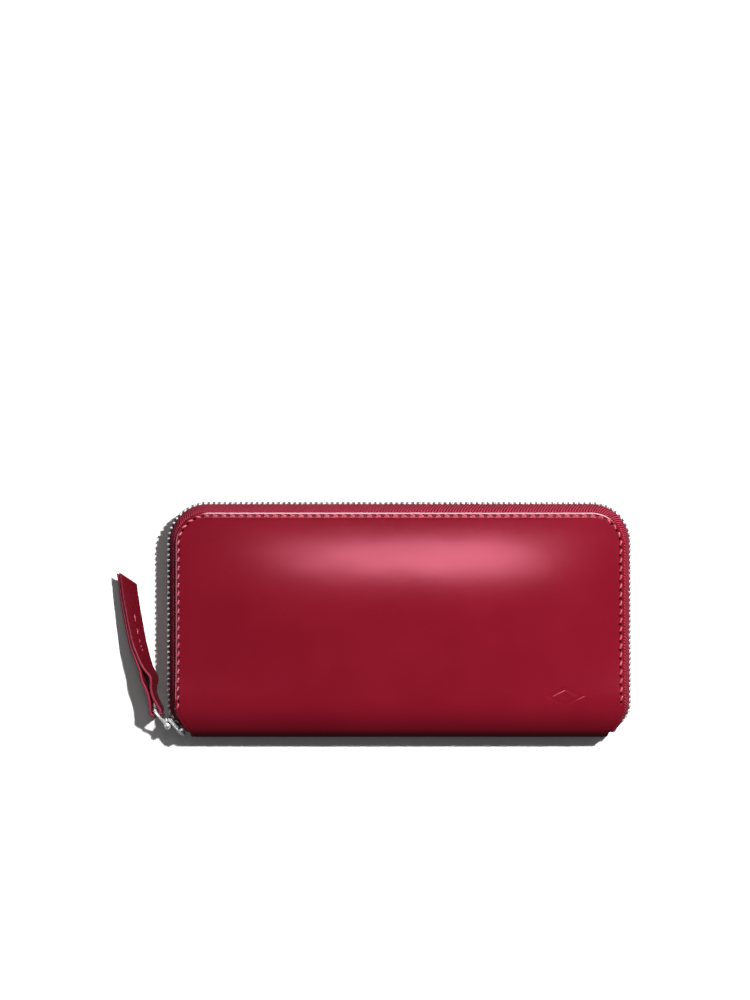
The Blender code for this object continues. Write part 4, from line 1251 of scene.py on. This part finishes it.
# painted shade inside the needle holes
HOLE_SHADE = rgb(0.012, 0.0004, 0.001)
SMALL_SHADE = rgb(0.03, 0.001, 0.003)
TAPE_FUZZ = rgb(0.36, 0.03, 0.06)
SLIDER_TINT, BRIGHT_TINT = (0.60, 0.60, 0.61), (0.90, 0.90, 0.90)
TEETH_TINT, INNER_TINT = (0.54, 0.53, 0.53), (0.55, 0.55, 0.56)
# share of painted shade on the teeth between the meshing rows
TEETH_SHADE_SHARE = 0.85
BOARD_SHADE = rgb(0.30, 0.28, 0.25)
BOARD_COLOUR = rgb(0.48, 0.45, 0.40)
CLOUD_SIZE, FINE_SIZE, PORE_SIZE = 26.0, 1.4, 0.55          # of the leather, in millimetres
# Painted shade towards the spine: dark until here, clear from here, share of the painted shade colour.
SPINE_SHADE_STEPS = ((HINGE_Y + 3.0, HINGE_Y + 15.0, 0.3), (HINGE_Y + 0.6, HINGE_Y + 4.6, 0.8))
PLY_TURN = 11.0             # turns of the thread's twist, in radians per millimetre
RIB_PITCH, RIB_LEAN, CROSS_PITCH = 1.2, 0.5, 0.45           # weave of the tape
TWILL_PITCH, WEFT_PITCH = 0.7, 0.35                         # weave of the lining
BADGE_PLACE = (69.0, -31.5)
BADGE_HALF = (8.6, 4.4)


def leather_base(s, where, roughness=0.17):
    """Finish shared by every leather piece: fine grain under a glossy pigment coat."""
    cloud = s.noise(where, CLOUD_SIZE, 2.0)
    fine = s.noise(where, FINE_SIZE, 4.0)
    colour = s.blend(s.span(cloud, 0.35, 0.7), LEATHER_BASE, LEATHER_DEEP)
    pores = s.cells(where, PORE_SIZE)
    grain = s.plus(s.times(pores, 0.5), s.times(fine, 0.6))
    rough = s.span(fine, 0.3, 0.75, roughness - 0.02, roughness + 0.03)
    return colour, grain, rough


def seam_holes(s):
    """1 at the needle holes of the seam, fading outwards, from the seam attributes."""
    run = s.over(s.attribute("seam"), STITCH_PITCH)
    part = s.math("FRACT", run)
    near = s.times(s.math("MINIMUM", part, s.minus(1.0, part)), STITCH_PITCH)
    off = s.minus(s.attribute("inset"), SEAM_INSET + HOLE_SHIFT)
    near = s.times(near, 0.62)
    square = s.plus(s.times(near, near), s.times(off, off))
    hole = s.span(s.math("SQRT", square), 0.24, 0.56, 1.0, 0.0, smooth=True)
    sewn = s.times(s.math("GREATER_THAN", s.attribute("seam"), 1.0),
                  s.math("LESS_THAN", s.attribute("seam"), SEAM_RUN - 1.0))
    return s.times(hole, sewn)


def badge(s, where):
    """A plain pressed lozenge on the front cover."""
    place = s.parts(where)
    dx = s.over(s.math("ABSOLUTE", s.minus(place[0], BADGE_PLACE[0])), BADGE_HALF[0])
    dy = s.over(s.math("ABSOLUTE", s.minus(place[1], BADGE_PLACE[1])), BADGE_HALF[1])
    reach = s.plus(dx, dy)
    outer = s.span(reach, 0.88, 1.0, 1.0, 0.0, smooth=True)
    inner = s.span(reach, 0.52, 0.64, 1.0, 0.0, smooth=True)
    ring = s.minus(outer, inner)
    return s.times(ring, s.math("GREATER_THAN", place[2], MID_Z))


def shell_leather():
    s = Shader("glossy_leather_shell")
    where = s.place()
    colour, grain, rough = leather_base(s, where)
    holes = seam_holes(s)
    fore = s.parts(where)[1]
    # painted shade: the leather darkens towards the spine, where it turns away from the lamps
    for near, far, most in SPINE_SHADE_STEPS:
        colour = s.blend(s.span(fore, near, far, most, 0.0, smooth=True), colour, LEATHER_SPINE_SHADE)
    edge = s.span(s.attribute("inset"), 0.0, 0.45, 1.0, 0.0, smooth=True)
    colour = s.blend(edge, colour, LEATHER_EDGE)
    # painted shade in the needle holes of the seam
    colour = s.blend(s.times(holes, 0.92), colour, HOLE_SHADE)
    pressed = badge(s, where)
    colour = s.blend(s.times(pressed, 0.35), colour, LEATHER_DEEP)
    relief = s.bump(grain, 0.006)
    relief = s.bump(s.noise(where, 14.0, 1.0), 0.03, relief)
    relief = s.bump(s.times(holes, -1.0), 0.35, relief)
    relief = s.bump(s.times(pressed, -1.0), 0.07, relief)
    rolled = s.span(s.attribute("inset"), 0.2, 1.1, 0.8, 0.0, smooth=True)
    s.set(Base_Color=colour, Roughness=rough, Normal=relief, Specular_IOR_Level=1.0,
          Specular_Tint=LEATHER_GLOSS, Coat_Weight=rolled, Coat_Roughness=0.16, Coat_IOR=1.9)
    return s.mat


def small_leather():
    """Leather of the strap, tab and pockets; cut edges are paler."""
    s = Shader("glossy_leather_small")
    where = s.place()
    colour, grain, rough = leather_base(s, where, 0.28)
    colour = s.blend(0.5, colour, SMALL_SHADE)
    cut = s.span(s.attribute("edge"), 0.3, 1.0, smooth=True)
    fibre = s.noise(where, 0.5, 4.0)
    colour = s.blend(s.times(cut, s.span(fibre, 0.35, 0.65, 0.2, 0.65)), colour, LEATHER_CUT)
    relief = s.bump(grain, 0.006)
    relief = s.bump(s.noise(where, 4.0, 2.0), 0.06, relief)
    s.set(Base_Color=colour, Roughness=s.plus(rough, s.times(cut, 0.25)),
          Normal=relief, Specular_IOR_Level=0.8, Specular_Tint=LEATHER_GLOSS)
    return s.mat


def thread_material():
    """Waxed twisted thread."""
    s = Shader("twisted_thread")
    where = s.place()
    place = s.parts(where)
    ply = s.math("SINE", s.times(s.plus(s.attribute("twist"), place[2]), PLY_TURN))
    tone = s.span(s.noise(where, 1.5), 0.3, 0.7, 0.0, 1.0)
    colour = s.blend(s.times(tone, 0.4), THREAD_COLOUR, THREAD_SHADE)
    # painted shade in the grooves between the thread's plies
    colour = s.blend(s.span(ply, -1.0, -0.2, 0.5, 0.0), colour, THREAD_SHADE)
    s.set(Base_Color=colour, Roughness=0.30, Normal=s.bump(ply, 0.04), Sheen_Weight=0.2,
          Sheen_Roughness=0.4, Specular_IOR_Level=0.9)
    return s.mat


def tape_material():
    """Zip tape: fine herringbone ribs across a woven ground."""
    s = Shader("woven_zip_tape")
    along, across = s.attribute("along"), s.attribute("across")
    lean = s.times(across, RIB_LEAN)
    rib = s.math("SINE", s.times(s.plus(along, lean), 2 * math.pi / RIB_PITCH))
    cross = s.math("SINE", s.times(across, 2 * math.pi / CROSS_PITCH))
    height = s.plus(s.times(rib, 0.8), s.times(cross, 0.2))
    where = s.place()
    fuzz = s.noise(where, 0.35, 3.0)
    # painted shade and light: the weave's valleys dark, its crests lit
    colour = s.blend(s.span(height, -0.6, 0.6, smooth=True), TAPE_SHADE, TAPE_COLOUR)
    colour = s.blend(s.span(fuzz, 0.3, 0.8, 0.0, 0.35), colour, TAPE_FUZZ)
    gloss = s.span(height, -0.2, 0.9, 0.0, 0.35)
    s.set(Base_Color=colour, Roughness=0.55, Normal=s.bump(height, 0.18), Sheen_Weight=0.02,
          Sheen_Roughness=0.45, Specular_IOR_Level=gloss, Specular_Tint=TAPE_GLOSS)
    return s.mat


def metal_material(name, tint, roughness, metallic, mesh_shade=0.0, own=True):
    """Plated zinc with faint polishing marks and handling haze; on the teeth, painted shade where the two
    rows mesh.
    """
    s = Shader(name)
    where = s.place(own)
    haze = s.noise(where, 2.2, 4.0)
    marks = s.put("ShaderNodeTexNoise", Vector=where, Scale=6.0, Detail=2.0).outputs["Fac"]
    colour = s.blend(s.span(haze, 0.35, 0.75), rgb(*tint), rgb(*[c * 0.72 for c in tint]))
    if mesh_shade:
        # painted shade: darker near the parting plane, between the meshing teeth
        depth = s.math("ABSOLUTE", s.minus(s.parts(where)[2], MID_Z))
        colour = s.blend(s.span(depth, 1.1, 1.8, mesh_shade, 0.0, smooth=True), colour, TEETH_PAINTED_SHADE)
    s.set(Base_Color=colour, Metallic=metallic,
          Roughness=s.span(haze, 0.3, 0.8, roughness, roughness + 0.16),
          Normal=s.bump(marks, 0.008))
    return s.mat


def lining_material(name, own=True):
    """Fine twill lining."""
    s = Shader(name)
    where = s.place(own)
    x, y, z = s.parts(where)
    twill = s.math("SINE", s.times(s.plus(s.plus(x, y), z), 2 * math.pi / TWILL_PITCH))
    weft = s.math("SINE", s.times(s.minus(y, z), 2 * math.pi / WEFT_PITCH))
    height = s.plus(s.times(twill, 0.7), s.times(weft, 0.3))
    # painted shade in the valleys of the twill, lighter on its ridges
    colour = s.blend(s.span(height, -0.9, 0.8, smooth=True), LINING_SHADE, LINING_COLOUR)
    wear = s.noise(where, 12.0, 3.0)
    colour = s.blend(s.span(wear, 0.4, 0.8, 0.0, 0.3), colour, LINING_COLOUR)
    s.set(Base_Color=colour, Roughness=0.66, Normal=s.bump(height, 0.05), Sheen_Weight=0.3,
          Sheen_Roughness=0.4)
    return s.mat


def board_material():
    s = Shader("grey_fibre_board")
    where = s.place(own=False)
    fibre = s.noise(where, 0.8, 5.0)
    colour = s.blend(fibre, BOARD_SHADE, BOARD_COLOUR)
    s.set(Base_Color=colour, Roughness=0.9, Normal=s.bump(fibre, 0.06))
    return s.mat


def floor_material():
    s = Shader("pale_floor")
    x, y, _ = s.parts(s.place())
    radius = s.math("SQRT", s.plus(s.times(x, x), s.times(y, y)))
    glow = s.span(radius, TABLE_NEAR, TABLE_FAR, TABLE_GLOW, 1.0, smooth=True)
    s.set(Base_Color=rgb(*[FLOOR_WHITE] * 3), Roughness=0.9, Specular_IOR_Level=0.1,
          Emission_Color=rgb(1.0, 1.0, 1.0), Emission_Strength=glow)
    return s.mat


# ------------------------------------------------------------------- stage

CAMERA_PLACE = (-10.3, 50.5, 700.0)     # fitted to the wallet's outline
CAMERA_LENS = 58.4
LIGHT_TARGET = (0.0, 0.0, 15.0)
KEY_PLACE = (265.0, 262.0, 690.0)
KEY_RADIUS = 22.0
KEY_POWER = 46.0
# Softboxes: place, size and power. Panel, rim and kicker are seen in the gloss only.
PANEL = ((70.0, 490.0, 1300.0), (620.0, 330.0), 7.5)
FILL = ((70.0, 480.0, 1300.0), (320.0, 340.0), 0.8)
RIM = ((250.0, 850.0, 700.0), (1100.0, 650.0), 20.0)
KICKER = ((-800.0, 60.0, 560.0), (420.0, 420.0), 1.2)
SKY_LIGHT = 0.10            # soft room light from above and, brighter, from the table below
BOUNCE_LIGHT = 0.32
GLOSS_LIGHT = 0.03
FLOOR_HALF = 6000.0
FLOOR_WHITE = 0.92
TABLE_GLOW = 0.002          # the table stays white beyond the reach of the lamps
TABLE_NEAR, TABLE_FAR = 330.0, 800.0


def add_to_scene(name, data, place):
    obj = bpy.data.objects.new(name, data)
    obj.location = Vector(place) * MM
    bpy.context.scene.collection.objects.link(obj)
    return obj


def area_light(name, place, size, power):
    lamp = bpy.data.lights.new(name, "AREA")
    lamp.shape = "RECTANGLE"
    lamp.size, lamp.size_y = (v * MM for v in size)
    lamp.energy = power
    obj = add_to_scene(name, lamp, place)
    look = Vector(LIGHT_TARGET) - Vector(place)
    obj.rotation_euler = look.to_track_quat("-Z", "Y").to_euler()
    return obj


def key_light():
    """Small near lamp on the upper right, which gives the crisp short shadow."""
    lamp = bpy.data.lights.new("key", "POINT")
    lamp.shadow_soft_size = KEY_RADIUS * MM
    lamp.energy = KEY_POWER
    add_to_scene("key", lamp, KEY_PLACE).visible_glossy = False


def build_stage():
    camera_data = bpy.data.cameras.new("camera")
    camera_data.lens = CAMERA_LENS
    camera_data.sensor_width = 36.0
    bpy.context.scene.camera = add_to_scene("camera", camera_data, CAMERA_PLACE)
    bpy.context.scene.view_settings.view_transform = "Standard"

    half = FLOOR_HALF
    soup = Soup()
    soup.add([(-half, -half, 0), (half, -half, 0), (half, half, 0), (-half, half, 0)], [(0, 1, 2, 3)])
    floor = soup.build("floor", floor_material())
    floor.visible_glossy = False
    floor.visible_diffuse = False

    key_light()
    area_light("fill", *FILL).visible_glossy = False
    for name, light in (("panel", PANEL), ("rim", RIM), ("kicker", KICKER)):
        area_light(name, *light).visible_diffuse = False
    bpy.context.scene.world = studio_world()


def studio_world():
    """White to the camera; to the wallet a dim room with light coming off the table."""
    world = bpy.data.worlds.new("studio")
    world.use_nodes = True
    s = Nodes(world.node_tree)

    def choose(factor, a, b):
        return s.put("ShaderNodeMix", Factor=factor, A=a, B=b).outputs["Result"]

    rays = s.put("ShaderNodeLightPath").outputs
    place = s.put("ShaderNodeTexCoord").outputs["Generated"]
    below = s.math("LESS_THAN", s.parts(place)[2], 0.0)
    soft = choose(below, SKY_LIGHT, BOUNCE_LIGHT)
    lit = choose(rays["Is Diffuse Ray"], GLOSS_LIGHT, soft)
    background = s.tree.nodes["Background"].inputs
    background["Color"].default_value = (1.0, 1.0, 1.0, 1.0)
    s.wire(choose(rays["Is Camera Ray"], lit, 1.0), background["Strength"])
    return world


# -------------------------------------------------------------------- main

def repaint(mat, *nodes):
    for name in nodes:
        for holder in frame["nodes"][name].material_slots:
            holder.material = mat


def covers(leather, lining):
    """Leather and lining, each one sheet wrapped round both halves of the wallet."""
    shell = wrap_sheet("leather_shell", leather, 0.0, LEATHER, 0.0, EDGE_ROLL, stitched=True)
    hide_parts("front_cover", "rear_cover")
    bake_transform(shell)
    inner = wrap_sheet("lining_shell", lining, LINING_DEPTH, LINING, LINING_INSET, LINING / 2)
    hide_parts("front_lining", "rear_lining")
    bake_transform(inner)


def zip_and_seam(side, half, thread, tape, metal):
    """One half's row of stitches, zip tape and teeth."""
    seam = seam_stitches(f"{half}_seam_stitches", side, thread)
    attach(seam, f"{half}_half")
    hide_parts(f"{half}_seam_thread")
    cloth = zip_tape(f"{half}_tape", side, tape)
    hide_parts(f"{half}_zip_tape")
    row = teeth_row(f"{half}_tooth_row", side, metal)
    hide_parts(f"{half}_teeth")
    for piece in (cloth, row):
        if side < 0:
            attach(piece, "rear_half")
        else:
            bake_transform(piece)


def main():
    build_stage()
    leather = shell_leather()
    soft = small_leather()
    thread = thread_material()
    tape = tape_material()
    lining = lining_material("twill_lining")
    nickel = metal_material("slider_nickel", SLIDER_TINT, 0.20, 0.75)
    bright = metal_material("bright_nickel", BRIGHT_TINT, 0.22, 0.62)
    teeth_metal = metal_material("teeth_nickel", TEETH_TINT, 0.30, 0.55, TEETH_SHADE_SHARE)
    cad_metal = metal_material("cad_nickel", INNER_TINT, 0.22, 0.85, own=False)

    covers(leather, lining)
    for side, half in ((-1, "rear"), (1, "front")):
        zip_and_seam(side, half, thread, tape, teeth_metal)
    tab = end_tab("tape_end_tab", soft)
    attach(tab, "rear_half")
    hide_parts("zip_end_tab")

    for piece in (slider_body(nickel), riveted_pin(nickel), wire_link(bright)):
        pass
    leather_strap(soft)
    strap_stitches(thread)

    card_pockets(soft, lining, thread)
    for hand, word in ((-1, "left"), (1, "right")):
        side_gusset(hand, word, lining)
    coin_pouch(lining, tape, teeth_metal, thread)

    repaint(board_material(), "front_board", "rear_board")
    repaint(cad_metal, "zip_bottom_stop", "coin_slider", "coin_pull")
    repaint(lining_material("twill_binding", own=False), "coin_binding")


main()
